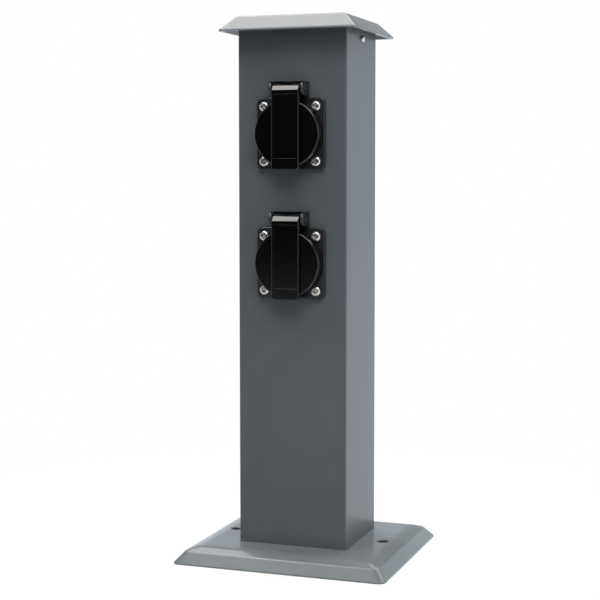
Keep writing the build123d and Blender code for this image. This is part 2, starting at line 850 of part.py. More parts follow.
def make_lid():
    """The round lid, the broad band down its middle and its knuckle on the hinge pin."""
    cap = rod(lid_radius, lid_back - lid_skirt_depth, lid_face)
    cap = fillet(cap.faces().sort_by(Axis.Z)[-1].edges(), lid_soft_edge)
    cap -= rod(lid_inner_radius, lid_back - lid_skirt_depth - 1, lid_back)
    bevel_y = hinge_up - band_bevel_drop
    joint_y = hinge_up - knuckle_radius
    blend = math.radians(barrel_blend_angle)
    barrel_reach = knuckle_radius - slip_gap
    band_mid = (bevel_y - band_tail) / 2
    band_outline = Pos(0, band_mid) * Rectangle(band_width, bevel_y + band_tail)
    tail_corners = band_outline.vertices().sort_by(Axis.Y)[:2]
    band_outline = fillet(tail_corners, band_corner)
    band = extrude(Pos(0, 0, band_back) * band_outline, amount=band_face - band_back)
    arm = side_profile(
        [
            (joint_y - 2 * knuckle_radius, band_back),
            (joint_y - 2 * knuckle_radius, band_face),
            (bevel_y, band_face),
            (bevel_y + band_bevel, band_face - band_bevel),
            (hinge_up + barrel_reach * math.cos(blend), hinge_out + barrel_reach * math.sin(blend)),
            (hinge_up, hinge_out),
            (joint_y, hinge_out),
            (joint_y, band_back),
        ],
        band_width / 2,
    )
    lid = cap + band + arm + cross_rod(knuckle_radius, band_width / 2, hinge_up, hinge_out)
    half_bay = spring_bay_width / 2
    bay_front = hinge_out + spring_bay_radius
    bay_top = hinge_up + 2 * knuckle_radius
    lid -= slab(-half_bay, half_bay, lid_radius + spring_bay_web, bay_top, 0.0, bay_front)
    pocket_y = hinge_up - spring_coil_radius
    pocket_half = spring_wire_radius + spring_pocket_gap
    pocket_x = spring_span / 2
    lid -= slab(
        pocket_x - pocket_half,
        pocket_x + spring_front_leg * spring_slope + pocket_half,
        pocket_y - pocket_half,
        pocket_y + pocket_half,
        hinge_out,
        hinge_out + spring_front_leg + spring_pocket_gap,
    )
    panel_low = -band_tail + panel_above_tail
    panel_high = hinge_up - panel_below_pin
    half_panel = panel_width / 2
    lid -= slab(-half_panel, half_panel, panel_low, panel_high, band_face - panel_depth, band_face + 1)
    return lid - cross_rod(hinge_pin_radius + pin_gap, band_width, hinge_up, hinge_out)


def make_lid_seal():
    """The rubber ring inside the lid that meets the collar's rim."""
    middle = (recess_radius + cup_radius) / 2
    outer = middle + lid_seal_width / 2
    inner = middle - lid_seal_width / 2
    ring = rod(outer, lid_back - lid_seal_thickness, lid_back)
    return ring - rod(inner, lid_back - lid_seal_thickness - 1, lid_back + 1)


def make_hinge_pin():
    """The steel pin through both ears and the knuckle."""
    return cross_rod(hinge_pin_radius, hinge_width / 2 - hinge_pin_inset, hinge_up, hinge_out)


def coil_point(arcs_done):
    """A point on the spring's coil, after so many of its arcs."""
    angle = math.radians(-spring_back_angle - spring_arc_angle * arcs_done)
    return Vector(
        -spring_span / 2 + spring_advance * arcs_done,
        hinge_up + spring_coil_radius * math.cos(angle),
        hinge_out + spring_coil_radius * math.sin(angle),
    )


def make_lid_spring():
    """The coil on the pin, with one leg against the housing and one in the lid's pocket."""
    arcs = [
        ThreePointArc(coil_point(i), coil_point(i + 0.5), coil_point(i + 1))
        for i in range(spring_arcs)
    ]
    start = arcs[0] @ 0
    back_leg = Line(start - (arcs[0] % 0) * spring_back_leg, start)
    end = arcs[-1] @ 1
    front_leg = Line(end, end + (arcs[-1] % 1) * spring_front_leg)
    path = Wire([back_leg, *arcs, front_leg])
    section = Plane(origin=path @ 0, z_dir=path % 0) * Circle(spring_wire_radius)
    return sweep(section, path=path)


def spring_gap():
    """The least gap between the coil's turns, measured on points at least half a turn apart."""
    per_arc = 6
    points = [coil_point(i / per_arc) for i in range(spring_arcs * per_arc + 1)]
    apart = 2 * per_arc
    return min(
        (points[i] - points[j]).length - 2 * spring_wire_radius
        for i in range(len(points))
        for j in range(i + apart, len(points))
    )


# Pieces that stand on the foot inside the column
plate_back = plate_front + plate_thickness
clamp_bottom = foot_height + clamp_lift
block_bottom = foot_height + block_lift
pole_y = plate_front - pole_inset
pole_xs = [-pole_pitch, 0.0, pole_pitch]
block_front = plate_front - block_depth
clamp_front = -clamp_channel - clamp_wall
clamp_screw_places = [
    (sx * clamp_screw_spacing / 2, clamp_bottom + clamp_height / 2) for sx in (-1, 1)
]
block_screw_places = [(sx * pole_pitch / 2, block_bottom + block_height / 2) for sx in (-1, 1)]


def along_y(radius, y0, y1, x, z):
    """A round bar along Y."""
    return Pos(x, y0, z) * Rot(-90, 0, 0) * rod(radius, 0.0, y1 - y0)


def make_terminal_plate():
    """The bent steel plate that carries the clamp and the terminal block."""
    half = plate_width / 2
    low = foot_height
    leaf = slab(-half, half, plate_front, plate_back, low, low + plate_height)
    leaf += slab(-half, half, plate_back - bite, plate_back + plate_foot, low, low + plate_thickness)
    arch_radius = cable_hole_radius + grommet_flange + grommet_room
    leaf -= rod(arch_radius, low - 1, low + grommet_lip + grommet_room)
    for x, y in plate_screw_places:
        leaf -= rod(plate_screw_radius + screw_gap, low - 1, low + plate_thickness + 1, x, y)
    for x, z in clamp_screw_places:
        leaf -= along_y(clamp_screw_radius + screw_gap, plate_front - 1, plate_back + 1, x, z)
    for x, z in block_screw_places:
        leaf -= along_y(block_screw_radius + thread_gap, plate_front - 1, plate_back + 1, x, z)
    return leaf


def make_plate_screws():
    """Two screws that hold the plate on the foot."""
    screw = pan_screw(
        plate_screw_radius, plate_screw_length, plate_screw_head_radius, plate_screw_head_height
    )
    top = foot_height + plate_thickness
    return group([Pos(x, y, top) * screw for x, y in plate_screw_places])


def make_clamp():
    """The saddle that holds the supply cable against the plate."""
    half = clamp_width / 2
    top = clamp_bottom + clamp_height
    saddle = slab(-half, half, clamp_front, plate_front, clamp_bottom, top)
    saddle -= rod(clamp_channel, clamp_bottom - 1, top + 1)
    saddle -= slab(-clamp_channel, clamp_channel, 0.0, plate_front + 1, clamp_bottom - 1, top + 1)
    for x, z in clamp_screw_places:
        saddle -= along_y(clamp_screw_radius + screw_gap, clamp_front - 1, plate_front + 1, x, z)
    return saddle


def make_clamp_screws():
    """Two screws through the saddle and the plate."""
    length = plate_back + nut_height + 1.0 - clamp_front
    screw = pan_screw(
        clamp_screw_radius, length, flange_screw_head_radius, flange_screw_head_height
    )
    return group([Pos(x, clamp_front, z) * Rot(90, 0, 0) * screw for x, z in clamp_screw_places])


def make_clamp_nuts():
    """A nut behind the plate on each clamp screw."""
    nut = hex_nut(nut_corner_radius, nut_height, clamp_screw_radius + thread_gap)
    return group([Pos(x, plate_back, z) * Rot(-90, 0, 0) * nut for x, z in clamp_screw_places])


def pole_screw_heights():
    """The heights of a pole's two clamp screws."""
    middle = block_bottom + block_height / 2
    return [middle - pole_screw_pitch / 2, middle + pole_screw_pitch / 2]


def make_terminal_block():
    """The block with three poles, open at its top and bottom for the wires."""
    half = block_width / 2
    top = block_bottom + block_height
    body = slab(-half, half, block_front, plate_front, block_bottom, top)
    for x in pole_xs:
        body -= rod(pole_radius + slip_gap, block_bottom - 1, top + 1, x, pole_y)
        for z in pole_screw_heights():
            body -= along_y(pole_screw_radius + screw_gap, block_front - 1, pole_y, x, z)
    for x, z in block_screw_places:
        body -= along_y(block_screw_radius + screw_gap, block_front - 1, plate_front + 1, x, z)
    return body


def make_terminal_sleeves():
    """The brass sleeve of each pole."""
    low = block_bottom + (block_height - pole_length) / 2
    sleeves = []
    for x in pole_xs:
        sleeve = rod(pole_radius, low, low + pole_length, x, pole_y)
        sleeve -= rod(pole_bore, low - 1, low + pole_length + 1, x, pole_y)
        for z in pole_screw_heights():
            sleeve -= along_y(pole_screw_radius + thread_gap, pole_y - 2 * pole_radius, pole_y, x, z)
        sleeves.append(sleeve)
    return group(sleeves)


def make_block_clamp_screws():
    """Two slotted screws in each pole."""
    start = block_front + pole_screw_sunk
    end = pole_y - wire_radius - slip_gap
    screws = []
    for x in pole_xs:
        for z in pole_screw_heights():
            screw = along_y(pole_screw_radius, start, end, x, z)
            slot_x = (x - pole_screw_radius - 1, x + pole_screw_radius + 1)
            slot_z = (z - pole_slot_width / 2, z + pole_slot_width / 2)
            screws.append(screw - slab(*slot_x, start - 1, start + pole_slot_depth, *slot_z))
    return group(screws)


def make_block_fixings():
    """Two screws that hold the block on the plate."""
    length = plate_back + 2.0 - block_front
    screw = pan_screw(
        block_screw_radius, length, terminal_screw_head_radius, terminal_screw_head_height
    )
    return group([Pos(x, block_front, z) * Rot(90, 0, 0) * screw for x, z in block_screw_places])


# Earth bond on the inside of the column's back wall
back_wall = inner_depth / 2
stud_z = upper_height - stud_below_upper
lug_back = back_wall
lug_front = lug_back - lug_thickness
lug_wire_y = lug_front - lug_barrel_radius + lug_barrel_sunk
lug_wire_z = stud_z + lug_ring_radius + lug_barrel_length


def make_earth_stud():
    """The stud welded to the inside of the back wall."""
    return along_y(stud_radius, back_wall - stud_length, back_wall, stud_x, stud_z)


def make_earth_lug():
    """The ring lug on the stud, with its barrel upwards."""
    ring = along_y(lug_ring_radius, lug_front, lug_back, stud_x, stud_z)
    neck_half = lug_neck_width / 2
    ring += slab(
        stud_x - neck_half,
        stud_x + neck_half,
        lug_front,
        lug_back,
        stud_z,
        stud_z + lug_ring_radius + 1.0,
    )
    barrel_low = stud_z + lug_ring_radius + lug_barrel_sunk
    ring += rod(lug_barrel_radius, barrel_low, lug_wire_z, stud_x, lug_wire_y)
    ring -= rod(wire_hole_radius, barrel_low + lug_barrel_floor, lug_wire_z + 1, stud_x, lug_wire_y)
    return ring - along_y(stud_radius + slip_gap, lug_front - 1, lug_back + 1, stud_x, stud_z)


def make_earth_nut():
    """The nut on the stud."""
    nut = hex_nut(nut_corner_radius, nut_height, stud_radius + thread_gap)
    return Pos(stud_x, lug_front, stud_z) * Rot(90, 0, 0) * nut


def wire_along(points):
    """An insulated wire along a route of straight runs joined by arcs."""
    path = FilletPolyline(*points, radius=wire_bend)
    section = Plane(origin=path @ 0, z_dir=path % 0) * Circle(wire_radius)
    return sweep(section, path=path)


def entry_y(terminal_depth):
    """Where a wire's end lies inside a terminal, as a distance behind the column's front."""
    return -column_depth / 2 - terminal_depth - wire_entry


def link_wire(x, rise, terminal_depth, back_y):
    """A wire from the lower outlet's terminal to the upper one's."""
    near = entry_y(terminal_depth)
    low_z = outlet_height + rise
    high_z = upper_height - rise
    return wire_along([(x, near, low_z), (x, back_y, low_z), (x, back_y, high_z), (x, near, high_z)])


def make_earth_link():
    """The earth wire between the two outlets."""
    near = entry_y(earth_terminal_back)
    low_z = outlet_height - earth_terminal_drop
    high_z = upper_height - earth_terminal_drop
    x = wire_hole_offset
    back_y = earth_wire_back_y
    return wire_along([(x, near, low_z), (x, back_y, low_z), (x, back_y, high_z), (x, near, high_z)])


def feed_wire(pole_x, x, drop, terminal_depth, back_y):
    """A wire from the top of a pole to the lower outlet's terminal."""
    start_z = block_bottom + block_height / 2 + 1.0
    near = entry_y(terminal_depth)
    end_z = outlet_height - drop
    low_bend = block_bottom + block_height + wire_rise
    high_bend = block_bottom + block_height + wire_cross_rise
    return wire_along(
        [
            (pole_x, pole_y, start_z),
            (pole_x, pole_y, low_bend),
            (x, back_y, high_bend),
            (x, back_y, end_z),
            (x, near, end_z),
        ]
    )


def make_bond_wire():
    """The earth wire from the upper outlet to the column."""
    near = entry_y(earth_terminal_back)
    high_z = upper_height - earth_terminal_drop
    x = -wire_hole_offset
    return wire_along(
        [
            (x, near, high_z),
            (x, lug_wire_y, high_z),
            (stud_x, lug_wire_y, high_z - wire_rise / 2),
            (stud_x, lug_wire_y, lug_wire_z - wire_entry),
        ]
    )


def outlet_pieces():
    """Every piece of one outlet, drawn flat, by name."""
    return {
        "housing": make_housing(),
        "flange_gasket": make_gasket(),
        "recess_floor": make_insert(),
        "contact_carrier": make_carrier(),
        "earth_bracket": make_earth_bracket(),
        "live_contact": make_contact(-1),
        "neutral_contact": make_contact(1),
        "terminal_screws": make_terminal_screws(),
        "floor_screw": make_insert_screw(),
        "flange_screws": make_flange_screws(),
        "flange_nuts": make_flange_nuts(),
        "lid": make_lid(),
        "lid_seal": make_lid_seal(),
        "hinge_pin": make_hinge_pin(),
        "lid_spring": make_lid_spring(),
    }


def all_pieces():
    """Every node by name, in place."""
    pieces = {
        "column": make_column(),
        "hood": make_hood(),
        "hood_seal": make_hood_seal(),
        "hood_screws": make_hood_screws(),
        "foot": make_foot(),
        "foot_screws": make_foot_screws(),
        "foot_washers": make_foot_washers(),
        "foot_nuts": make_foot_nuts(),
        "cable_grommet": make_grommet(),
        "terminal_plate": make_terminal_plate(),
        "terminal_plate_screws": make_plate_screws(),
        "cable_clamp": make_clamp(),
        "cable_clamp_screws": make_clamp_screws(),
        "cable_clamp_nuts": make_clamp_nuts(),
        "terminal_block": make_terminal_block(),
        "terminal_block_sleeves": make_terminal_sleeves(),
        "terminal_block_wire_screws": make_block_clamp_screws(),
        "terminal_block_fixings": make_block_fixings(),
        "earth_stud": make_earth_stud(),
        "earth_lug": make_earth_lug(),
        "earth_nut": make_earth_nut(),
        "bond_wire": make_bond_wire(),
        "live_link_wire": link_wire(-terminal_x, wire_hole_offset, terminal_back, wire_back_y),
        "neutral_link_wire": link_wire(terminal_x, wire_hole_offset, terminal_back, wire_back_y),
        "earth_link_wire": make_earth_link(),
        "live_feed_wire": feed_wire(
            pole_xs[0], -terminal_x, wire_hole_offset, terminal_back, wire_back_y
        ),
        "neutral_feed_wire": feed_wire(
            pole_xs[2], terminal_x, wire_hole_offset, terminal_back, wire_back_y
        ),
        "earth_feed_wire": feed_wire(
            pole_xs[1],
            -wire_hole_offset,
            earth_terminal_drop,
            earth_terminal_back,
            earth_feed_back_y,
        ),
    }
    drawn = outlet_pieces()
    for name, height in (("upper", upper_height), ("lower", outlet_height)):
        for piece, shape in drawn.items():
            pieces[f"{name}_{piece}"] = on_front(shape, height)
    return pieces


print(f"lid spring: least gap between turns {spring_gap():.2f} mm")
os.makedirs("parts", exist_ok=True)
for node, shape in all_pieces().items():
    export_step(shape, f"parts/{node}.step")
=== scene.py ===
import json
import math

import bmesh
import bpy
from mathutils import Matrix, Vector


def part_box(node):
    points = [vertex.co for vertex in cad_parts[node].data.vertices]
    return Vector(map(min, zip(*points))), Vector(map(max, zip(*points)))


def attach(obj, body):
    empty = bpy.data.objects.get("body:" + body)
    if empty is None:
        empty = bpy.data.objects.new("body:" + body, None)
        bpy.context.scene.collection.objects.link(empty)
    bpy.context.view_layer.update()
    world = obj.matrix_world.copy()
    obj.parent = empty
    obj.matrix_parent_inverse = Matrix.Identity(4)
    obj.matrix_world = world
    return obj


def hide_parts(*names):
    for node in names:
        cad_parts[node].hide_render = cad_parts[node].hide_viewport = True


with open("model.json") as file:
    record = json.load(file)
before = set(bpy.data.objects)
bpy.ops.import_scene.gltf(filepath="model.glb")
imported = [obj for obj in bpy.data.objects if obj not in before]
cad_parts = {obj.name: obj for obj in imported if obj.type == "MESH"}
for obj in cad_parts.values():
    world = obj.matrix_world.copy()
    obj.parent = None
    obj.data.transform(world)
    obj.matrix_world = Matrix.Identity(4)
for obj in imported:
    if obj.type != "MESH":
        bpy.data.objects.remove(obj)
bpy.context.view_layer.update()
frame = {"nodes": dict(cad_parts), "record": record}

# Metres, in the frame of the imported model: +Z up, the outlets face -Y
MM = 0.001

# Camera, as fitted to the photograph
CAMERA_AZIMUTH = math.radians(19.21)
CAMERA_DOWN = math.radians(4.11)
CAMERA_REACH = 1.0342
CAMERA_HEIGHT = 0.2763
PICTURE_PIXELS = 600
FOCAL_PIXELS = 1430.9
AXIS_RIGHT_PIXELS = 8.4
AXIS_UP_PIXELS = 25.0
SENSOR_WIDTH = 36.0

# Room, as mirrored: where smooth steps begin and end, on a ray of length 1
FRONT_SIDE = (0.3, 0.75)
FRONT_WALL = (0.08, 0.2)
BACK_WALL = (0.2, 0.35)

# Floor: where smooth steps begin and end, in metres from the object's middle
FLOOR_DIMS = (0.35, 0.9)
FLOOR_ASIDE = (0.03, 0.12)
FLOOR_AHEAD = (0.02, 0.1)
FLOOR_FRONT = (0.085, 0.11)
FLOOR_RISES = (0.3, 0.6)
FLOOR_FAR = (1.0, 1.8)
SHADOW_FADES = (0.12, 0.4)

# Floor: its size and its levels
FLOOR_SIZE = 6.0
FLOOR_MIDDLE = 0.6
FLOOR_EDGE = 0.3
FLOOR_ASIDE_GAIN = 0.35
FLOOR_AHEAD_LOSS = 0.2
FRONT_GLOSS = 0.9
SHADOW_SHARE = 0.4

# Lamps: degrees round from the front, degrees up, the degrees that a lamp fills across and
# upright, its level and its colour
LAMP_REACH = 2.0
LAMP_AIM = 0.2
LAMPS = {
    "front_box": (-25, 57, (40, 18), 1.6, (1.0, 1.0, 1.0)),
    "front_right_box": (25, 48, (44, 30), 4.3, (1.0, 0.99, 0.95)),
    "overhead_front_box": (-62, 66, (12, 22), 6.6, (1.0, 0.96, 0.92)),
    "overhead_box": (-112, 70, (24, 28), 4.2, (1.0, 0.96, 0.93)),
    "rear_box": (180, 58, (80, 44), 2.7, (1.0, 0.99, 0.96)),
    "right_strip_box": (73, 6, (9, 46), 3.6, (0.93, 0.97, 1.0)),
}

# Colours, in linear values
WHITE = (1, 1, 1, 1)
BLACK = (0, 0, 0, 1)
ROOM_TINT = (0.82, 0.89, 0.98, 1)
FLOOR_TINT = (0.98, 1.02, 1.1, 1)
FLOOR_PAINT = (0.94, 0.99, 1.0, 1)
ANTHRACITE = (0.101, 0.117, 0.130, 1)
ANTHRACITE_PALE = (0.109, 0.125, 0.139, 1)
PALE_GREY = (0.21, 0.235, 0.252, 1)
PALE_GREY_DEEP = (0.195, 0.219, 0.235, 1)
LID_BLACK = (0.0025, 0.0025, 0.0028, 1)
LID_DUSTY = (0.006, 0.006, 0.0065, 1)
HOUSING_BLACK = (0.012, 0.0115, 0.0125, 1)
HOUSING_DUSTY = (0.019, 0.0185, 0.0195, 1)
DARK_PLASTIC = (0.03, 0.03, 0.032, 1)
DARK_PLASTIC_PALE = (0.04, 0.04, 0.042, 1)
PALE_PLASTIC = (0.78, 0.78, 0.74, 1)
PALE_PLASTIC_DEEP = (0.7, 0.7, 0.66, 1)
RUBBER_BLACK = (0.012, 0.012, 0.012, 1)
RUBBER_BLOOM = (0.03, 0.03, 0.03, 1)
NICKEL = (0.86, 0.81, 0.76, 1)
NICKEL_DULL = (0.74, 0.7, 0.65, 1)
ZINC = (0.58, 0.59, 0.60, 1)
ZINC_DULL = (0.46, 0.47, 0.47, 1)
BRASS = (0.78, 0.55, 0.24, 1)
BRASS_DULL = (0.62, 0.44, 0.2, 1)
LIVE_BROWN = (0.16, 0.06, 0.025, 1)
NEUTRAL_BLUE = (0.03, 0.12, 0.5, 1)
EARTH_GREEN = (0.05, 0.3, 0.06, 1)
EARTH_YELLOW = (0.75, 0.65, 0.04, 1)

# How far apart the stripes of the two-coloured wire are
STRIPE_REPEAT = 2.8 * MM


# Node work
class Value:
    """A socket of a node tree that takes part in sums as a number does."""

    def __init__(self, work, socket):
        self.work = work
        self.socket = socket

    def maths(self, operation, *others):
        """A Math node on this value and others."""
        terms = dict(enumerate((self, *others)))
        return self.work.node("Math", 0, {"operation": operation}, terms)

    def __add__(self, other):
        return self.maths("ADD", other)

    def __sub__(self, other):
        return self.maths("SUBTRACT", other)

    def __mul__(self, other):
        return self.maths("MULTIPLY", other)

    def __rsub__(self, other):
        return self * -1 + other

    __radd__ = __add__
    __rmul__ = __mul__

    def ramp(self, low, high):
        """Rises smoothly from 0 at low to 1 at high."""
        settings = {"interpolation_type": "SMOOTHSTEP"}
        terms = {"Value": self, "From Min": low, "From Max": high}
        return self.work.node("MapRange", "Result", settings, terms)

    def swing(self, reach):
        """A noise between 0 and 1, made a swing about 0 that spans a reach."""
        return (self - 0.5) * reach


class NodeWork:
    """A node tree, and the one method that adds a node to it."""

    def __init__(self, tree):
        self.tree = tree

    def node(self, kind, output=0, settings=None, terms=None):
        """A node by its type, the output that is used, its settings and what its sockets take."""
        made = self.tree.nodes.new("ShaderNode" + kind)
        for key, value in (settings or {}).items():
            setattr(made, key, value)
        self.fill(made, terms or {})
        return Value(self, made.outputs[output])

    def fill(self, node, terms):
        """Feeds a node's sockets with links or with plain values."""
        for socket, term in terms.items():
            if isinstance(term, Value):
                self.tree.links.new(term.socket, node.inputs[socket])
            else:
                node.inputs[socket].default_value = term

    def blend(self, first, second, factor):
        """A colour between two, by a factor that varies."""
        return self.node("Mix", 2, {"data_type": "RGBA"}, {0: factor, 6: first, 7: second})

    def part(self, vector, axis):
        """One axis of a vector."""
        return self.node("SeparateXYZ", axis, terms={"Vector": vector})


class Finish(NodeWork):
    """One material: its shader, and the nodes that vary it over the surface."""

    def __init__(self, name, **constants):
        self.material = bpy.data.materials.new(name)
        self.material.use_nodes = True
        super().__init__(self.material.node_tree)
        for socket, value in constants.items():
            self.feed(socket, value)
        self.place = self.node("TexCoord", "Object")

    def feed(self, socket, term):
        """Feeds a socket of the shader."""
        self.fill(self.tree.nodes["Principled BSDF"], {socket: term})

    def noise(self, grain, detail=2.0, roughness=0.5, stretch=(1, 1, 1)):
        """Cloudy noise whose blots are about one grain across."""
        spot = self.node("Mapping", terms={"Vector": self.place, "Scale": stretch})
        terms = {"Vector": spot, "Scale": 1 / grain, "Detail": detail, "Roughness": roughness}
        return self.node("TexNoise", "Fac", terms=terms)

    def relief(self, height, depth, strength=1.0):
        """Bumps of a real depth, from a height between 0 and 1."""
        terms = {"Height": height, "Distance": depth, "Strength": strength}
        self.feed("Normal", self.node("Bump", "Normal", terms=terms))


# Finishes
def powder_coat(name, colour, cloudy, roughness):
    """Baked powder paint: a fine orange peel, faint clouds and a speck of dust."""
    coat = Finish(name, IOR=1.5)
    peel = coat.noise(1.1 * MM, detail=3.0, roughness=0.55)
    clouds = coat.noise(28 * MM)
    specks = coat.noise(0.45 * MM, detail=1.0)
    coat.feed("Base Color", coat.blend(colour, cloudy, clouds.ramp(0.35, 0.65)))
    coat.feed("Roughness", roughness + clouds.swing(0.06) + specks.swing(0.05))
    coat.relief(peel + specks * 0.4, 0.035 * MM, strength=0.6)
    return coat.material


def gloss_plastic(name, colour, dusty, roughness):
    """Moulded thermoplastic: a polished skin with the faintest waves and dust."""
    skin = Finish(name, IOR=1.585)
    waves = skin.noise(9 * MM, detail=1.0)
    dust = skin.noise(0.8 * MM, detail=4.0, roughness=0.7)
    skin.feed("Base Color", skin.blend(colour, dusty, dust.ramp(0.55, 0.8)))
    skin.feed("Roughness", roughness + dust.swing(0.08))
    skin.relief(waves * 0.7 + dust * 0.02, 0.05 * MM, strength=0.5)
    return skin.material


def matt_plastic(name, colour, cloudy):
    """Moulded plastic with a spark-eroded grain."""
    skin = Finish(name, IOR=1.48)
    grain = skin.noise(0.5 * MM, detail=3.0)
    clouds = skin.noise(12 * MM)
    skin.feed("Base Color", skin.blend(colour, cloudy, clouds.ramp(0.3, 0.7)))
    skin.feed("Roughness", 0.5 + grain.swing(0.2))
    skin.relief(grain, 0.03 * MM)
    return skin.material


def moulded_rubber(name):
    """Soft black rubber with a bloom of dust."""
    skin = Finish(name, IOR=1.5)
    grain = skin.noise(0.35 * MM, detail=3.0)
    bloom = skin.noise(6 * MM, detail=3.0)
    skin.feed("Base Color", skin.blend(RUBBER_BLACK, RUBBER_BLOOM, bloom))
    skin.feed("Roughness", 0.62 + grain.swing(0.2))
    skin.relief(grain, 0.04 * MM)
    return skin.material


def plated_metal(name, colour, dull, roughness):
    """Plated or bare metal, faintly clouded, with fine scratches."""
    skin = Finish(name, Metallic=1.0)
    clouds = skin.noise(3 * MM, detail=3.0)
    scratches = skin.noise(0.6 * MM, stretch=(1, 1, 0.12))
    skin.feed("Base Color", skin.blend(colour, dull, clouds.ramp(0.35, 0.75)))
    skin.feed("Roughness", roughness + clouds.swing(0.12) + scratches.swing(0.1))
    skin.relief(scratches, 0.01 * MM, strength=0.5)
    return skin.material


def wire_insulation(name, colour, stripe=None):
    """Smooth insulation, with a second colour along it where the wire has two."""
    skin = Finish(name, IOR=1.5)
    waves = skin.noise(4 * MM)
    base = colour
    if stripe:
        side = (skin.part(skin.place, "X") * (1 / STRIPE_REPEAT)).maths("FRACT")
        base = skin.blend(colour, stripe, side.ramp(0.42, 0.58))
    skin.feed("Base Color", base)
    skin.feed("Roughness", 0.35 + waves.swing(0.1))
    skin.relief(waves, 0.03 * MM)
    return skin.material


SLOTS = {
    "column_paint": powder_coat("column_paint", ANTHRACITE, ANTHRACITE_PALE, 0.3),
    "grey_paint": powder_coat("grey_paint", PALE_GREY, PALE_GREY_DEEP, 0.22),
    "black_plastic": gloss_plastic("black_plastic", HOUSING_BLACK, HOUSING_DUSTY, 0.24),
    "black_lid": gloss_plastic("black_lid", LID_BLACK, LID_DUSTY, 0.12),
    "dark_plastic": matt_plastic("dark_plastic", DARK_PLASTIC, DARK_PLASTIC_PALE),
    "pale_plastic": matt_plastic("pale_plastic", PALE_PLASTIC, PALE_PLASTIC_DEEP),
    "rubber": moulded_rubber("rubber"),
    "bright_screws": plated_metal("bright_screws", NICKEL, NICKEL_DULL, 0.14),
    "steel": plated_metal("steel", ZINC, ZINC_DULL, 0.34),
    "brass": plated_metal("brass", BRASS, BRASS_DULL, 0.28),
    "live_insulation": wire_insulation("live_insulation", LIVE_BROWN),
    "neutral_insulation": wire_insulation("neutral_insulation", NEUTRAL_BLUE),
    "earth_insulation": wire_insulation("earth_insulation", EARTH_GREEN, EARTH_YELLOW),
}


def dress_nodes():
    """Gives each CAD node the finish of its material slot."""
    slot_of_node = {part["node"]: part["material_slot"] for part in frame["record"]["subparts"]}
    for name, node in frame["nodes"].items():
        for place in node.material_slots:
            place.material = SLOTS[slot_of_node[name]]


# Sizes of the modelled pieces, in millimetres
def corners_of(node):
    """A node's lowest and highest corners, in millimetres."""
    return [[value / MM for value in corner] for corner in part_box(node)]


def middle_of_outlet(name):
    """The height of an outlet's middle, which is halfway between its screws."""
    low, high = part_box(name + "_flange_screws")
    return (low[2] + high[2]) / 2 / MM


# Signs of left and right, and of four corners
BOTH_SIDES = (-1, 1)
FOUR_CORNERS = ((-1, -1), (-1, 1), (1, -1), (1, 1))

# All pieces: the play between two, the least edge, how far a cutter reaches past a face, how
# far a piece that is fused is sunk, and the room that a test on places leaves
SLIP = 0.15
FINE_EDGE = 0.3
OVERSHOOT = 1.0
OVERLAP = 1.0
MARGIN = 0.1

# What counts as one point, and as a point on a plane, in metres
MERGE = 0.003 * MM
TOUCH = 0.002 * MM

# What counts as an edge along an axis, by its cosine, and as a corner, as flat and as smooth
ALONG = 0.999
CORNER_ANGLE = 0.5
FLAT_ANGLE = math.radians(1)
SMOOTH_ANGLE = math.radians(40)

# Sides of the round blanks
LID_SIDES = 128
ROUND_SIDES = 96
BOLT_SIDES = 48
POST_SIDES = 32
HOLE_SIDES = 24

# Column
COLUMN_LOW, COLUMN_HIGH = corners_of("column")
COLUMN_FRONT = COLUMN_LOW[1]
COLUMN_HALF_WIDTH = COLUMN_HIGH[0]
COLUMN_HALF_DEPTH = COLUMN_HIGH[1]
COLUMN_BOTTOM = COLUMN_LOW[2]
COLUMN_TOP = COLUMN_HIGH[2]
COLUMN_WALL = 1.5
COLUMN_CORNER = 1.0
COLUMN_TAB_REACH = 12.0
COLUMN_TAB_HALF = 26.0
COLUMN_CUT = (-2 * COLUMN_WALL, COLUMN_WALL)

# Hood
HOOD_LOW, HOOD_HIGH = corners_of("hood")
HOOD_HALF = HOOD_HIGH[0]
HOOD_TOP = HOOD_HIGH[2]
HOOD_HEIGHT = 11.0
HOOD_EAVE = HOOD_TOP - HOOD_HEIGHT
HOOD_LIP = 1.1
HOOD_CEILING_DROP = 5.0
HOOD_CEILING = HOOD_TOP - HOOD_CEILING_DROP
HOOD_SLOPE_RUN = 10.0
HOOD_TOP_HALF = HOOD_HALF - HOOD_SLOPE_RUN
HOOD_SLOPE_RISE = HOOD_TOP - HOOD_EAVE - HOOD_LIP
HOOD_CORNER = 4.0
HOOD_WALL = 2.5
HOOD_SOFT_EDGE = 1.6
HOOD_LIP_EDGE = 0.7
SPIGOT_HALF_WIDTH = COLUMN_HALF_WIDTH - COLUMN_WALL - SLIP
SPIGOT_HALF_DEPTH = COLUMN_HALF_DEPTH - COLUMN_WALL - SLIP
SPIGOT_LOW = HOOD_LOW[2]
SPIGOT_WALL = 2.5
HOOD_SCREW_DROP = 9.7
HOOD_SCREW_HEIGHT = HOOD_CEILING - HOOD_SCREW_DROP
HOOD_SCREW_HOLE = 1.7
HOOD_BOSS_RADIUS = 4.0
HOOD_BOSS_DEPTH = 5.0
HOOD_BOSS_SUNK = 0.5

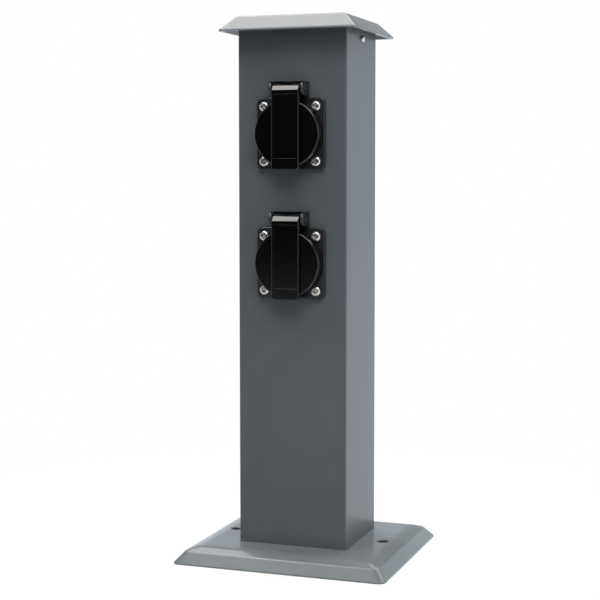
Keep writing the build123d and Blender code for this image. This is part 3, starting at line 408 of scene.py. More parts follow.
# Foot
FOOT_HALF_WIDTH, FOOT_HALF_DEPTH = corners_of("foot")[1][:2]
FOOT_LIP = 1.0
FOOT_SHOULDER = 8.4
FOOT_BEVEL = 6.5
FOOT_CROWN = COLUMN_BOTTOM
FOOT_CROWN_INSET = 7.5
FOOT_CORNER = 5.0
FOOT_SOFT_EDGE = 1.1
FOOT_CROWN_EDGE = 4.0
FOOT_WALL = 3.0
FOOT_SIDE_WALL = 2.7
FOOT_CEILING = FOOT_CROWN - FOOT_WALL
FOOT_RIM = 0.8
FOOT_RIM_RISE = 0.4
FOOT_RIM_CORNER = 2.8
BOLT_OFFSET = 16.7
BOLT_X = COLUMN_HALF_WIDTH + BOLT_OFFSET
BOLT_RADIUS = 4.0
BOLT_CHAMFER = 0.6
BOLT_MOUTH_RISE = 0.4
BOLT_FACE = 1.2
BOLT_RELIEF = 6.6
BOLT_BOSS = 8.5
CABLE_RADIUS = 12.5
FOOT_SCREW_X = 31.0
FOOT_SCREW_Y = 20.0
FOOT_SCREW_HOLE = 2.7
PLATE_SCREW_X = 14.0
PLATE_SCREW_Y = 18.1
PLATE_SCREW_HOLE = 2.05
PLATE_BOSS = 4.5
PLATE_BOSS_LENGTH = 4.0

# Outlets, drawn flat: X across, Y up from the outlet's middle, Z out of the column
OUTLETS = {name: middle_of_outlet(name) for name in ("upper", "lower")}
FLANGE_HALF = 25.0
FLANGE_BACK = 0.8
FLANGE_FACE = 3.3
FLANGE_CORNER = 4.0
FLANGE_SOFT_EDGE = 0.7
SCREW_OFFSET = 19.0
SCREW_HOLE = 2.2
RIM = 8.5
RIM_SOFT_EDGE = 0.35
RECESS_RADIUS = 19.7
RECESS_FLOOR = -9.0
CUP_RADIUS = 21.4
CUP_REBATE = 20.55
CUP_END = -16.5
CUTOUT_PLAY = 0.5
CUTOUT_RADIUS = CUP_RADIUS + CUTOUT_PLAY
KEY_WIDTH = 4.8
KEY_DEPTH = 2.1
KEY_SUNK = 0.5
KEY_TOP = 4.5

# Hinge
HINGE_UP = 31.0
HINGE_OUT = 8.3
EAR_RADIUS = 5.3
EAR_INSIDE = 10.4
EAR_OUTSIDE = 13.0
EAR_SOFT_EDGE = 0.8
HINGE_TOP = HINGE_UP + EAR_RADIUS
BASE_SETBACK = 0.4
BASE_SUNK = 1.4
BASE_DROP = 1.0
BASE_HALF = EAR_OUTSIDE - BASE_SETBACK
BASE_LOW = FLANGE_HALF - BASE_SUNK
BASE_HIGH = HINGE_TOP - BASE_DROP
TOP_WALL = 1.4
TOP_WALL_LEAN = math.radians(35)
TOP_WALL_EDGE = 5.7
PIN_HOLE = 1.3
KNUCKLE_RADIUS = 3.6
KNUCKLE_HALF = 9.99
ARM_SUNK = 0.4
ARM_ROOT = HINGE_UP - KNUCKLE_RADIUS + ARM_SUNK
ARM_REACH = KNUCKLE_RADIUS - SLIP
ARM_LEAN = math.radians(27)
ARM_TIP_Y = HINGE_UP + ARM_REACH * math.cos(ARM_LEAN)
ARM_TIP_Z = HINGE_OUT + ARM_REACH * math.sin(ARM_LEAN)

# Lid
LID_LOW, LID_HIGH = corners_of("upper_lid")
LID_RADIUS = LID_HIGH[0]
LID_WALL = 1.3
LID_BACK = 6.6
LID_PLATE = 9.6
LID_FACE = 12.0
LID_SOFT_EDGE = 0.8
BAND_HALF = 10.0
BAND_BACK = 11.0
BAND_FACE = COLUMN_FRONT - LID_LOW[1]
BAND_TAIL = -25.0
BAND_CORNER = 2.0
BAND_TOP = 29.75
BAND_BEVEL = 3.5
BAND_BEVEL_DEPTH = 2.8
BAND_SHOULDER_Y = BAND_TOP + BAND_BEVEL
BAND_SHOULDER_Z = BAND_FACE - BAND_BEVEL_DEPTH
BAND_EDGE = 0.7
PANEL_HALF = 8.2
PANEL_LOW = -17.0
PANEL_HIGH = 27.0
PANEL_DEPTH = 0.35
PANEL_DRAFT = 0.15
SPRING_BAY_HALF = 4.5
SPRING_BAY_LOW = 24.1
SPRING_BAY_HIGH = HINGE_UP + 2 * KNUCKLE_RADIUS
SPRING_BAY_FRONT = 11.0
SPRING_POCKET_LOW = (2.65, 28.35, 8.3)
SPRING_POCKET_HIGH = (4.2, 29.45, 13.5)

# Screws
HOOD_SCREW = {"radius": 1.5, "length": 9.0, "head": 2.4, "rise": 2.0}
FLANGE_SCREW = {"radius": 2.0, "length": 10.0, "head": 3.5, "rise": 2.3}
SHANK_SUNK = 0.1
HEAD_EDGE = 0.12
MOUTH_EDGE = 0.1
CROSS_OVERSHOOT = 0.2
DRIVE_TURN = math.radians(35)

# Screws: the dome and the cross's depth as shares of the head's rise, the cross's arms and
# blades as shares of the head's radius, and the share of them that is left at the bottom
DOME_SHARE = 0.6
DEPTH_SHARE = 0.62
ARM_SHARE = 0.58
BLADE_SHARE = 0.14
TAPER_SHARE = 0.55


# Tests on faces and edges
def on(axis, value):
    """Whether a face or an edge lies at a value on an axis."""
    return lambda item: all(abs(vert.co[axis] - value * MM) < TOUCH for vert in item.verts)


def past(axis, value):
    """Whether a face or an edge lies wholly above a value on an axis."""
    return lambda item: all(vert.co[axis] > value * MM for vert in item.verts)


def short_of(axis, value):
    """Whether a face or an edge lies wholly below a value on an axis."""
    return lambda item: all(vert.co[axis] < value * MM for vert in item.verts)


def near_middle(radius):
    """Whether a face or an edge lies wholly within a radius of the Z axis."""
    return lambda item: all(vert.co.xy.length < radius * MM for vert in item.verts)


def along(axis):
    """Whether an edge runs along an axis."""

    def test(edge):
        run = edge.verts[1].co - edge.verts[0].co
        return abs(run[axis]) > ALONG * run.length

    return test


def outward(edge):
    """Whether an edge is an outer corner of more than about 30 degrees."""
    return edge.is_manifold and edge.calc_face_angle_signed() > CORNER_ANGLE


def many_sided(face):
    """Whether a face has more than four corners."""
    return len(face.verts) > 4


def anything(item):
    """The test that every face and edge passes."""
    return True


def every(*tests):
    """Whether all of some tests pass."""
    return lambda item: all(test(item) for test in tests)


def either(*tests):
    """Whether at least one of some tests passes."""
    return lambda item: any(test(item) for test in tests)


def unless(test):
    """Whether a test fails."""
    return lambda item: not test(item)


# Hand tools: lengths are given in millimetres, and made metres here
def take(piece):
    """Makes a piece the one that the operators act on."""
    bpy.ops.object.select_all(action="DESELECT")
    piece.select_set(True)
    bpy.context.view_layer.objects.active = piece


def settle(piece, name):
    """Names a new blank and puts its place, turn and size into its mesh."""
    piece.name = piece.data.name = name
    take(piece)
    bpy.ops.object.transform_apply(location=True, rotation=True, scale=True)
    return piece


def block(name, x, y, z):
    """A block between two values on each axis."""
    bpy.ops.object.select_all(action="DESELECT")
    middle = [(low + high) / 2 * MM for low, high in (x, y, z)]
    size = [(high - low) * MM for low, high in (x, y, z)]
    bpy.ops.mesh.primitive_cube_add(size=1, location=middle, scale=size)
    return settle(bpy.context.object, name)


def disc(name, radius, low, high, at=(0, 0), sides=ROUND_SIDES, top_radius=None):
    """A round blank along Z between two heights, or a cone with a top radius."""
    bpy.ops.object.select_all(action="DESELECT")
    above = radius if top_radius is None else top_radius
    bpy.ops.mesh.primitive_cone_add(
        vertices=sides,
        radius1=radius * MM,
        radius2=above * MM,
        depth=(high - low) * MM,
        location=(at[0] * MM, at[1] * MM, (low + high) / 2 * MM),
    )
    return settle(bpy.context.object, name)


def cross_rod(name, radius, half, y, z, sides=BOLT_SIDES):
    """A round blank along X, centred on X."""
    bpy.ops.object.select_all(action="DESELECT")
    bpy.ops.mesh.primitive_cylinder_add(
        vertices=sides,
        radius=radius * MM,
        depth=2 * half * MM,
        location=(0, y * MM, z * MM),
        rotation=(0, math.pi / 2, 0),
    )
    return settle(bpy.context.object, name)


def bench(piece, kind, test):
    """Opens a piece in edit mode, with the faces or edges selected that pass a test."""
    take(piece)
    bpy.ops.object.mode_set(mode="EDIT")
    bpy.ops.mesh.select_mode(type=kind)
    bpy.ops.mesh.select_all(action="DESELECT")
    form = bmesh.from_edit_mesh(piece.data)
    form.normal_update()
    for item in {"EDGE": form.edges, "FACE": form.faces}[kind]:
        if test(item):
            item.select_set(True)
    form.select_flush_mode()
    bmesh.update_edit_mesh(piece.data)


def put_down():
    """Leaves edit mode."""
    bpy.ops.object.mode_set(mode="OBJECT")


def rounded(piece, radius, test=outward, segments=3):
    """Rounds the edges that pass a test, and merges the points that meet."""
    bench(piece, "EDGE", test)
    bpy.ops.mesh.bevel(offset=radius * MM, segments=segments, affect="EDGES", clamp_overlap=True)
    bpy.ops.mesh.select_all(action="SELECT")
    bpy.ops.mesh.remove_doubles(threshold=MERGE)
    put_down()


def rounded_block(name, half_x, half_y, low, high, corner, segments=8):
    """A block about the Z axis, with rounded upright corners."""
    made = block(name, (-half_x, half_x), (-half_y, half_y), (low, high))
    rounded(made, corner, along(2), segments)
    return made


def grown(piece, test, move=(0, 0, 0), scale=(1, 1, 1)):
    """Extrudes the faces that pass a test, moves the new ones and scales them about the origin."""
    bench(piece, "FACE", test)
    bpy.ops.mesh.extrude_region_move(
        TRANSFORM_OT_translate={"value": [value * MM for value in move]}
    )
    bpy.ops.transform.resize(value=scale, center_override=(0, 0, 0))
    put_down()


def lowered(piece, test, drop):
    """Moves the edges that pass a test down."""
    bench(piece, "EDGE", test)
    bpy.ops.transform.translate(value=(0, 0, -drop * MM))
    put_down()


def cut_by_plane(piece, place, normal):
    """Cuts off what lies beyond a plane and closes the cut."""
    bench(piece, "FACE", anything)
    bpy.ops.mesh.bisect(
        plane_co=[value * MM for value in place],
        plane_no=Vector(normal).normalized(),
        use_fill=True,
        clear_outer=True,
    )
    put_down()


def combined(piece, how, tools):
    """Changes a piece by other pieces, one after another, and uses them up."""
    for tool in tools:
        take(piece)
        change = piece.modifiers.new("change", "BOOLEAN")
        change.operation = how
        change.solver = "EXACT"
        change.object = tool
        bpy.ops.object.modifier_apply(modifier=change.name)
        bpy.data.objects.remove(tool)
        bench(piece, "FACE", anything)
        bpy.ops.mesh.remove_doubles(threshold=MERGE)
        put_down()


def fuse(piece, *tools):
    """Joins pieces to a piece."""
    combined(piece, "UNION", tools)


def cut(piece, *tools):
    """Cuts pieces out of a piece."""
    combined(piece, "DIFFERENCE", tools)


def finished(piece, node, body, slot_name):
    """Smooths a piece by angle, gives it its finish and lets it stand for its node."""
    take(piece)
    bpy.ops.object.shade_smooth_by_angle(angle=SMOOTH_ANGLE)
    even = piece.modifiers.new("even", "WEIGHTED_NORMAL")
    even.keep_sharp = True
    bpy.ops.object.modifier_apply(modifier=even.name)
    piece.data.materials.clear()
    piece.data.materials.append(SLOTS[slot_name])
    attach(piece, body)
    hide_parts(node)


def duplicate(piece, name):
    """A copy with its own mesh."""
    twin = piece.copy()
    twin.data = piece.data.copy()
    twin.name = twin.data.name = name
    bpy.context.collection.objects.link(twin)
    return twin


def joined(name, pieces):
    """Several pieces as one object."""
    take(pieces[0])
    for piece in pieces[1:]:
        piece.select_set(True)
    bpy.ops.object.join()
    pieces[0].name = pieces[0].data.name = name
    return pieces[0]


def moved(piece, shift=(0, 0, 0), turn=0.0, axis="Z"):
    """Turns a piece's mesh about the origin, then moves it."""
    place = Matrix.Translation([value * MM for value in shift])
    piece.data.transform(place @ Matrix.Rotation(turn, 4, axis))
    return piece


def on_front(piece, height):
    """Stands a piece that is drawn flat on the column's front."""
    return moved(piece, (0, COLUMN_FRONT, height), math.pi / 2, "X")


# Column
def folded_tube():
    """The column's wall, open at both ends, with round outer corners."""
    column = block(
        "column_form",
        (-COLUMN_HALF_WIDTH, COLUMN_HALF_WIDTH),
        (-COLUMN_HALF_DEPTH, COLUMN_HALF_DEPTH),
        (COLUMN_BOTTOM, COLUMN_TOP),
    )
    bench(column, "FACE", either(on(2, COLUMN_BOTTOM), on(2, COLUMN_TOP)))
    bpy.ops.mesh.inset(thickness=COLUMN_WALL * MM, use_individual=True)
    bpy.ops.mesh.bridge_edge_loops()
    put_down()
    rounded(column, COLUMN_CORNER, every(along(2), outward), segments=4)
    return column


def add_foot_tab(column, side):
    """The tab that is folded inwards over the foot, with its two screw holes."""
    inside = COLUMN_HALF_WIDTH - COLUMN_WALL
    top = COLUMN_BOTTOM + COLUMN_WALL
    x = sorted((side * (inside + COLUMN_WALL / 2), side * (inside - COLUMN_TAB_REACH)))
    fuse(column, block("tab", x, (-COLUMN_TAB_HALF, COLUMN_TAB_HALF), (COLUMN_BOTTOM, top)))
    low = COLUMN_BOTTOM - OVERSHOOT
    high = top + OVERSHOOT
    for end in BOTH_SIDES:
        place = (side * FOOT_SCREW_X, end * FOOT_SCREW_Y)
        cut(column, disc("hole", FOOT_SCREW_HOLE, low, high, place, HOLE_SIDES))


def open_for_outlet(column, height):
    """The round opening for an outlet's cup, and its four screw holes."""
    cut(column, on_front(disc("cutout", CUTOUT_RADIUS, *COLUMN_CUT), height))
    for x, y in FOUR_CORNERS:
        place = (x * SCREW_OFFSET, y * SCREW_OFFSET)
        hole = disc("hole", SCREW_HOLE, *COLUMN_CUT, place, HOLE_SIDES)
        cut(column, on_front(hole, height))


def make_column():
    """The folded tube, with its foot tabs, hood screw holes and openings for the outlets."""
    column = folded_tube()
    for side in BOTH_SIDES:
        add_foot_tab(column, side)
    half = COLUMN_HALF_WIDTH + OVERSHOOT
    cut(column, cross_rod("bore", HOOD_SCREW_HOLE, half, 0, HOOD_SCREW_HEIGHT, HOLE_SIDES))
    for height in OUTLETS.values():
        open_for_outlet(column, height)
    finished(column, "column", "post", "column_paint")


# Hood
def hood_roof():
    """The hood from outside: its lip, hipped slopes and flat top, with round edges."""
    lip_top = HOOD_EAVE + HOOD_LIP
    roof = rounded_block("hood_form", HOOD_HALF, HOOD_HALF, HOOD_EAVE, lip_top, HOOD_CORNER)
    shrink = HOOD_TOP_HALF / HOOD_HALF
    grown(roof, on(2, lip_top), (0, 0, HOOD_SLOPE_RISE), (shrink, shrink, 1))
    rounded(roof, HOOD_SOFT_EDGE, every(on(2, HOOD_TOP), outward), segments=6)
    rounded(roof, HOOD_LIP_EDGE, every(on(2, lip_top), outward))
    rounded(roof, FINE_EDGE, every(on(2, HOOD_EAVE), outward))
    return roof


def hood_hollow():
    """What is cut from under the slopes, so that their wall is even."""
    lean = (HOOD_HALF - HOOD_TOP_HALF) / HOOD_SLOPE_RISE
    rise = HOOD_CEILING - HOOD_EAVE
    low = HOOD_EAVE - OVERSHOOT
    low_half = HOOD_HALF - (HOOD_WALL * math.sqrt(1 + lean * lean) - HOOD_LIP * lean)
    hollow = rounded_block("hollow", low_half, low_half, low, HOOD_EAVE, HOOD_CORNER)
    shrink = (low_half - lean * rise) / low_half
    grown(hollow, on(2, HOOD_EAVE), (0, 0, rise), (shrink, shrink, 1))
    return hollow


def hood_spigot():
    """The block under the hood that fits in the column's top."""
    top = HOOD_CEILING + OVERLAP
    return rounded_block(
        "spigot", SPIGOT_HALF_WIDTH, SPIGOT_HALF_DEPTH, SPIGOT_LOW, top, SPIGOT_WALL
    )


def hood_pocket():
    """What is cut out of the spigot, up to the hood's top wall."""
    return rounded_block(
        "pocket",
        SPIGOT_HALF_WIDTH - SPIGOT_WALL,
        SPIGOT_HALF_DEPTH - SPIGOT_WALL,
        SPIGOT_LOW - OVERSHOOT,
        HOOD_TOP - HOOD_WALL,
        SPIGOT_WALL / 2,
    )


def hood_boss(side):
    """The boss inside the spigot that a side screw goes into."""
    inner = side * (SPIGOT_HALF_WIDTH - HOOD_BOSS_DEPTH)
    outer = side * (SPIGOT_HALF_WIDTH - HOOD_BOSS_SUNK)
    half = abs(outer - inner) / 2
    boss = cross_rod("boss", HOOD_BOSS_RADIUS, half, 0, HOOD_SCREW_HEIGHT)
    return moved(boss, ((inner + outer) / 2, 0, 0))


def make_hood():
    """The hipped cap, hollow under its eaves, with the spigot in the column."""
    hood = hood_roof()
    cut(hood, hood_hollow())
    fuse(hood, hood_spigot())
    cut(hood, hood_pocket())
    for side in BOTH_SIDES:
        fuse(hood, hood_boss(side))
    radius = HOOD_SCREW["radius"]
    cut(hood, cross_rod("bore", radius, HOOD_HALF, 0, HOOD_SCREW_HEIGHT, POST_SIDES))
    finished(hood, "hood", "post", "grey_paint")


# Foot
def foot_outline(name, shrink, drop):
    """The foot's outline, made smaller by shrink and lower by drop, without its round edges."""
    half_x = FOOT_HALF_WIDTH - shrink
    half_y = FOOT_HALF_DEPTH - shrink
    inner_x = half_x - FOOT_BEVEL
    inner_y = half_y - FOOT_BEVEL
    crown_x = inner_x - FOOT_CROWN_INSET
    crown_y = inner_y - FOOT_CROWN_INSET
    lip = FOOT_LIP - drop
    form = rounded_block(name, half_x, half_y, -drop, lip, FOOT_CORNER, segments=10)
    bevel = (inner_x / half_x, inner_y / half_y, 1)
    grown(form, on(2, lip), (0, 0, FOOT_SHOULDER - FOOT_LIP), bevel)
    slope = (crown_x / inner_x, crown_y / inner_y, 1)
    grown(form, on(2, FOOT_SHOULDER - drop), (0, 0, FOOT_CROWN - FOOT_SHOULDER), slope)
    return form


def foot_shell():
    """The foot's casting, hollow from below, with round edges outside."""
    shell = foot_outline("foot_form", 0, 0)
    rounded(shell, FOOT_SOFT_EDGE, on(2, FOOT_SHOULDER), segments=5)
    rounded(shell, FOOT_CROWN_EDGE, on(2, FOOT_CROWN), segments=6)
    rounded(shell, FINE_EDGE, on(2, FOOT_LIP))
    rounded(shell, FINE_EDGE, every(on(2, 0), outward))
    cut(shell, foot_outline("hollow", FOOT_SIDE_WALL, FOOT_WALL))
    return shell


def foot_rim():
    """The low rim round the column's end."""
    inner_x = COLUMN_HALF_WIDTH + SLIP
    inner_y = COLUMN_HALF_DEPTH + SLIP
    outer_x = inner_x + FOOT_RIM
    outer_y = inner_y + FOOT_RIM
    low = FOOT_CROWN - OVERLAP
    top = FOOT_CROWN + FOOT_RIM_RISE
    high = top + OVERSHOOT
    rim = rounded_block("rim", outer_x, outer_y, low, top, FOOT_RIM_CORNER)
    rounded(rim, FOOT_RIM_RISE / 2, every(on(2, top), outward))
    cut(rim, rounded_block("inside", inner_x, inner_y, FOOT_CROWN, high, COLUMN_CORNER))
    return rim


def add_foot_bosses(foot, side):
    """The boss of a bolt and the post of a plate screw, under the foot's ceiling."""
    boss_top = FOOT_CROWN - FOOT_WALL / 2
    fuse(foot, disc("boss", BOLT_BOSS, 0, boss_top, (side * BOLT_X, 0), BOLT_SIDES))
    low = FOOT_CEILING - PLATE_BOSS_LENGTH
    high = FOOT_CEILING + OVERLAP
    place = (side * PLATE_SCREW_X, PLATE_SCREW_Y)
    fuse(foot, disc("post", PLATE_BOSS, low, high, place, POST_SIDES))


def drill_for_bolt(foot, side):
    """A bolt's hole, wider from below, with a chamfer at its mouth."""
    place = (side * BOLT_X, 0)
    top = FOOT_CROWN + OVERSHOOT
    relief_top = FOOT_CROWN - BOLT_FACE
    mouth_low = FOOT_CROWN - BOLT_CHAMFER
    mouth_top = FOOT_CROWN + BOLT_MOUTH_RISE
    mouth_radius = BOLT_RADIUS + BOLT_CHAMFER + BOLT_MOUTH_RISE
    hole = disc("hole", BOLT_RADIUS, 0, top, place, BOLT_SIDES)
    relief = disc("relief", BOLT_RELIEF, -OVERSHOOT, relief_top, place, BOLT_SIDES)
    mouth = disc("mouth", BOLT_RADIUS, mouth_low, mouth_top, place, BOLT_SIDES, mouth_radius)
    cut(foot, hole, relief, mouth)


def drill_for_screw(foot, radius, place):
    """A screw's hole through the foot."""
    cut(foot, disc("hole", radius, -OVERSHOOT, FOOT_CROWN + OVERSHOOT, place, HOLE_SIDES))


def make_foot():
    """The hollow casting with its rim, bosses and holes."""
    foot = foot_shell()
    fuse(foot, foot_rim())
    for side in BOTH_SIDES:
        add_foot_bosses(foot, side)
    for side in BOTH_SIDES:
        drill_for_bolt(foot, side)
        drill_for_screw(foot, PLATE_SCREW_HOLE, (side * PLATE_SCREW_X, PLATE_SCREW_Y))
        for end in BOTH_SIDES:
            place = (side * FOOT_SCREW_X, end * FOOT_SCREW_Y)
            drill_for_screw(foot, FOOT_SCREW_HOLE, place)
    cut(foot, disc("hole", CABLE_RADIUS, -OVERSHOOT, FOOT_CROWN + OVERSHOOT))
    finished(foot, "foot", "post", "grey_paint")


# Housing
def flange():
    """The square flange with round corners."""
    plate = rounded_block(
        "housing", FLANGE_HALF, FLANGE_HALF, FLANGE_BACK, FLANGE_FACE, FLANGE_CORNER
    )
    rounded(plate, FLANGE_SOFT_EDGE, every(on(2, FLANGE_FACE), outward), segments=4)
    return plate


def hinge_base():
    """The plate that carries the hinge above the flange."""
    x = (-BASE_HALF, BASE_HALF)
    return block("base", x, (BASE_LOW, BASE_HIGH), (FLANGE_BACK, FLANGE_FACE))


def hinge_ear(side):
    """One cheek of the hinge, round in front."""
    x = sorted((side * EAR_INSIDE, side * EAR_OUTSIDE))
    front = HINGE_OUT + EAR_RADIUS
    ear = block("ear", x, (HINGE_UP - EAR_RADIUS, HINGE_TOP), (FLANGE_BACK, front))
    rounded(ear, EAR_RADIUS, every(on(2, front), along(0)), segments=16)
    rounded(ear, EAR_SOFT_EDGE, every(outward, on(0, side * EAR_OUTSIDE)))
    rounded(ear, EAR_SOFT_EDGE, every(outward, on(0, side * EAR_INSIDE)))
    return ear


def hinge_wall():
    """The wall over the hinge, cut back in front so that the lid can open."""
    half = EAR_INSIDE + OVERLAP
    low = HINGE_TOP - TOP_WALL
    wall = block("wall", (-half, half), (low, HINGE_TOP), (FLANGE_BACK, HINGE_OUT + OVERSHOOT))
    slope = (0, -math.sin(TOP_WALL_LEAN), math.cos(TOP_WALL_LEAN))
    cut_by_plane(wall, (0, low, TOP_WALL_EDGE), slope)
    rounded(wall, FINE_EDGE, every(outward, along(0), past(2, FLANGE_FACE)))
    return wall


def socket_cup():
    """The round cup through the flange, from its end to its rim, still solid."""
    cup = disc("cup", CUP_RADIUS, CUP_END, RIM)
    rounded(cup, RIM_SOFT_EDGE, every(on(2, RIM), outward))
    return cup


def socket_key(side):
    """One of the two keys at the sides of the recess."""
    x = sorted((side * (RECESS_RADIUS - KEY_DEPTH), side * (RECESS_RADIUS + KEY_SUNK)))
    key = block("key", x, (-KEY_WIDTH / 2, KEY_WIDTH / 2), (RECESS_FLOOR, KEY_TOP))
    rounded(key, FINE_EDGE)
    return key


def flange_hole(side, end):
    """What drills a screw's hole in one corner of the flange."""
    low = FLANGE_BACK - OVERSHOOT
    high = FLANGE_FACE + OVERSHOOT
    place = (side * SCREW_OFFSET, end * SCREW_OFFSET)
    return disc("hole", SCREW_HOLE, low, high, place, HOLE_SIDES)


def make_housing():
    """The flange, the hinge cheeks with their top wall, and the cup with its two keys."""
    housing = flange()
    fuse(housing, hinge_base(), hinge_ear(-1), hinge_ear(1), hinge_wall(), socket_cup())
    low = CUP_END - OVERSHOOT
    cut(housing, disc("recess", RECESS_RADIUS, low, RIM + OVERSHOOT))
    cut(housing, disc("rebate", CUP_REBATE, low, RECESS_FLOOR))
    for side in BOTH_SIDES:
        fuse(housing, socket_key(side))
        for end in BOTH_SIDES:
            cut(housing, flange_hole(side, end))
    cut(housing, cross_rod("bore", PIN_HOLE, EAR_OUTSIDE + OVERSHOOT, HINGE_UP, HINGE_OUT))
    return housing


# Lid
def lid_dish():
    """The round lid with its skirt, open at the back."""
    dish = disc("lid", LID_RADIUS, LID_BACK, LID_FACE, sides=LID_SIDES)
    rounded(dish, LID_SOFT_EDGE, on(2, LID_FACE), segments=6)
    bench(dish, "FACE", on(2, LID_BACK))
    bpy.ops.mesh.inset(thickness=LID_WALL * MM)
    put_down()
    grown(dish, every(on(2, LID_BACK), many_sided), (0, 0, LID_PLATE - LID_BACK))
    rounded(dish, FINE_EDGE, every(on(2, LID_BACK), outward), segments=2)
    return dish


def band_with_arm():
    """The broad band, with its head cut at a bevel and the arm that reaches over the knuckle."""
    x = (-BAND_HALF, BAND_HALF)
    band = block("band", x, (BAND_TAIL, ARM_ROOT), (BAND_BACK, BAND_FACE))
    grown(band, on(1, ARM_ROOT), (0, BAND_SHOULDER_Y - ARM_ROOT, 0))
    under_arm = every(on(2, BAND_BACK), past(1, ARM_ROOT - MARGIN))
    grown(band, under_arm, (0, 0, HINGE_OUT - BAND_BACK))
    bench(band, "FACE", anything)
    bpy.ops.mesh.dissolve_limited(angle_limit=FLAT_ANGLE)
    put_down()
    cut_by_plane(band, (0, BAND_TOP, BAND_FACE), (0, BAND_BEVEL_DEPTH, BAND_BEVEL))
    grown(band, on(1, BAND_SHOULDER_Y), (0, ARM_TIP_Y - BAND_SHOULDER_Y, 0))
    tip = every(on(1, ARM_TIP_Y), on(2, BAND_SHOULDER_Z))
    lowered(band, tip, BAND_SHOULDER_Z - ARM_TIP_Z)
    return band


def soften_band(band):
    """Rounds the tail's corners, the band's front edges and, more finely, its other edges."""
    rounded(band, BAND_CORNER, every(on(1, BAND_TAIL), along(2)), segments=8)
    in_front = past(2, BAND_BACK + MARGIN)
    under_shoulder = short_of(1, BAND_SHOULDER_Y + MARGIN)
    rounded(band, BAND_EDGE, every(outward, in_front, under_shoulder, unless(on(1, BAND_TOP))))
    rounded(band, FINE_EDGE)


def sink_panel(band):
    """The shallow panel in the band's face, with drafted sides."""
    x = (-PANEL_HALF, PANEL_HALF)
    z = (BAND_FACE - PANEL_DEPTH, BAND_FACE + OVERSHOOT)
    cut(band, block("panel", x, (PANEL_LOW, PANEL_HIGH), z))
    mouth = every(
        on(2, BAND_FACE),
        past(0, -PANEL_HALF - MARGIN),
        short_of(0, PANEL_HALF + MARGIN),
        past(1, PANEL_LOW - MARGIN),
        short_of(1, PANEL_HIGH + MARGIN),
    )
    rounded(band, PANEL_DRAFT, mouth, segments=2)


def lid_band():
    """The band down the lid, with its arm, knuckle and shallow panel."""
    band = band_with_arm()
    soften_band(band)
    fuse(band, cross_rod("knuckle", KNUCKLE_RADIUS, KNUCKLE_HALF, HINGE_UP, HINGE_OUT))
    sink_panel(band)
    return band


def spring_bay():
    """The room for the spring in the middle of the knuckle."""
    x = (-SPRING_BAY_HALF, SPRING_BAY_HALF)
    return block("bay", x, (SPRING_BAY_LOW, SPRING_BAY_HIGH), (0, SPRING_BAY_FRONT))


def make_lid():
    """The dish with the band over it, the spring's bay and pocket, and the pin's bore."""
    lid = lid_dish()
    fuse(lid, lid_band())
    pocket = block("pocket", *zip(SPRING_POCKET_LOW, SPRING_POCKET_HIGH))
    bore = cross_rod("bore", PIN_HOLE, BAND_HALF + OVERSHOOT, HINGE_UP, HINGE_OUT, HOLE_SIDES)
    cut(lid, spring_bay(), pocket, bore)
    return lid


# Screws
def cut_cross_recess(screw, head, rise):
    """The tapered cross in a screw's head, with a fine edge round its mouth."""
    bottom = rise - rise * DEPTH_SHARE
    arm = head * ARM_SHARE
    blade = head * BLADE_SHARE
    for x, y in ((arm, blade), (blade, arm)):
        cutter = block("cutter", (-x, x), (-y, y), (bottom, rise + CROSS_OVERSHOOT))
        bench(cutter, "FACE", on(2, bottom))
        bpy.ops.transform.resize(value=(TAPER_SHARE, TAPER_SHARE, 1), center_override=(0, 0, 0))
        put_down()
        cut(screw, cutter)
    rounded(screw, MOUTH_EDGE, every(on(2, rise), near_middle(arm), outward), segments=2)


def make_pan_screw(radius, length, head, rise):
    """A domed screw with a cross recess, standing on Z 0."""
    screw = disc("screw", head, 0, rise, sides=BOLT_SIDES)
    rounded(screw, rise * DOME_SHARE, on(2, rise), segments=6)
    rounded(screw, HEAD_EDGE, every(on(2, 0), outward), segments=1)
    cut_cross_recess(screw, head, rise)
    fuse(screw, disc("shank", radius, -length, SHANK_SUNK, sides=POST_SIDES))
    return screw


def make_hood_screws():
    """A screw in each side of the column's top, as one piece."""
    screw = make_pan_screw(**HOOD_SCREW)
    pair = []
    for side in BOTH_SIDES:
        turned = moved(duplicate(screw, "side_screw"), turn=DRIVE_TURN)
        turned = moved(turned, turn=side * math.pi / 2, axis="Y")
        pair.append(moved(turned, (side * COLUMN_HALF_WIDTH, 0, HOOD_SCREW_HEIGHT)))
    bpy.data.objects.remove(screw)
    finished(joined("hood_screw_pair", pair), "hood_screws", "post", "bright_screws")


def make_flange_screws():
    """A screw in each corner of the flange, each turned further than the last, as one piece."""
    screw = make_pan_screw(**FLANGE_SCREW)
    copies = []
    for number, (x, y) in enumerate(FOUR_CORNERS):
        turned = moved(duplicate(screw, "corner_screw"), turn=DRIVE_TURN * number)
        copies.append(moved(turned, (x * SCREW_OFFSET, y * SCREW_OFFSET, FLANGE_FACE)))
    bpy.data.objects.remove(screw)
    return joined("screw_set", copies)


# Outlets
def make_outlets():
    """Models one outlet's screws, housing and lid, and stands copies of them at each outlet."""
    screws = make_flange_screws()
    housing = make_housing()
    lid = make_lid()
    for outlet, height in OUTLETS.items():
        for model, node, body, finish in (
            (housing, "housing", "post", "black_plastic"),
            (lid, "lid", outlet + "_lid", "black_lid"),
            (screws, "flange_screws", "post", "bright_screws"),
        ):
            piece = on_front(duplicate(model, outlet + "_" + node + "_form"), height)
            finished(piece, outlet + "_" + node, body, finish)
    for model in (housing, lid, screws):
        bpy.data.objects.remove(model)


# Room, floor and lamps
def mirrored_ray(work):
    """1 for a ray that a surface mirrors or lets through, 0 for any other."""
    glossy = work.node("LightPath", "Is Glossy Ray")
    return glossy.maths("MAXIMUM", work.node("LightPath", "Is Transmission Ray"))


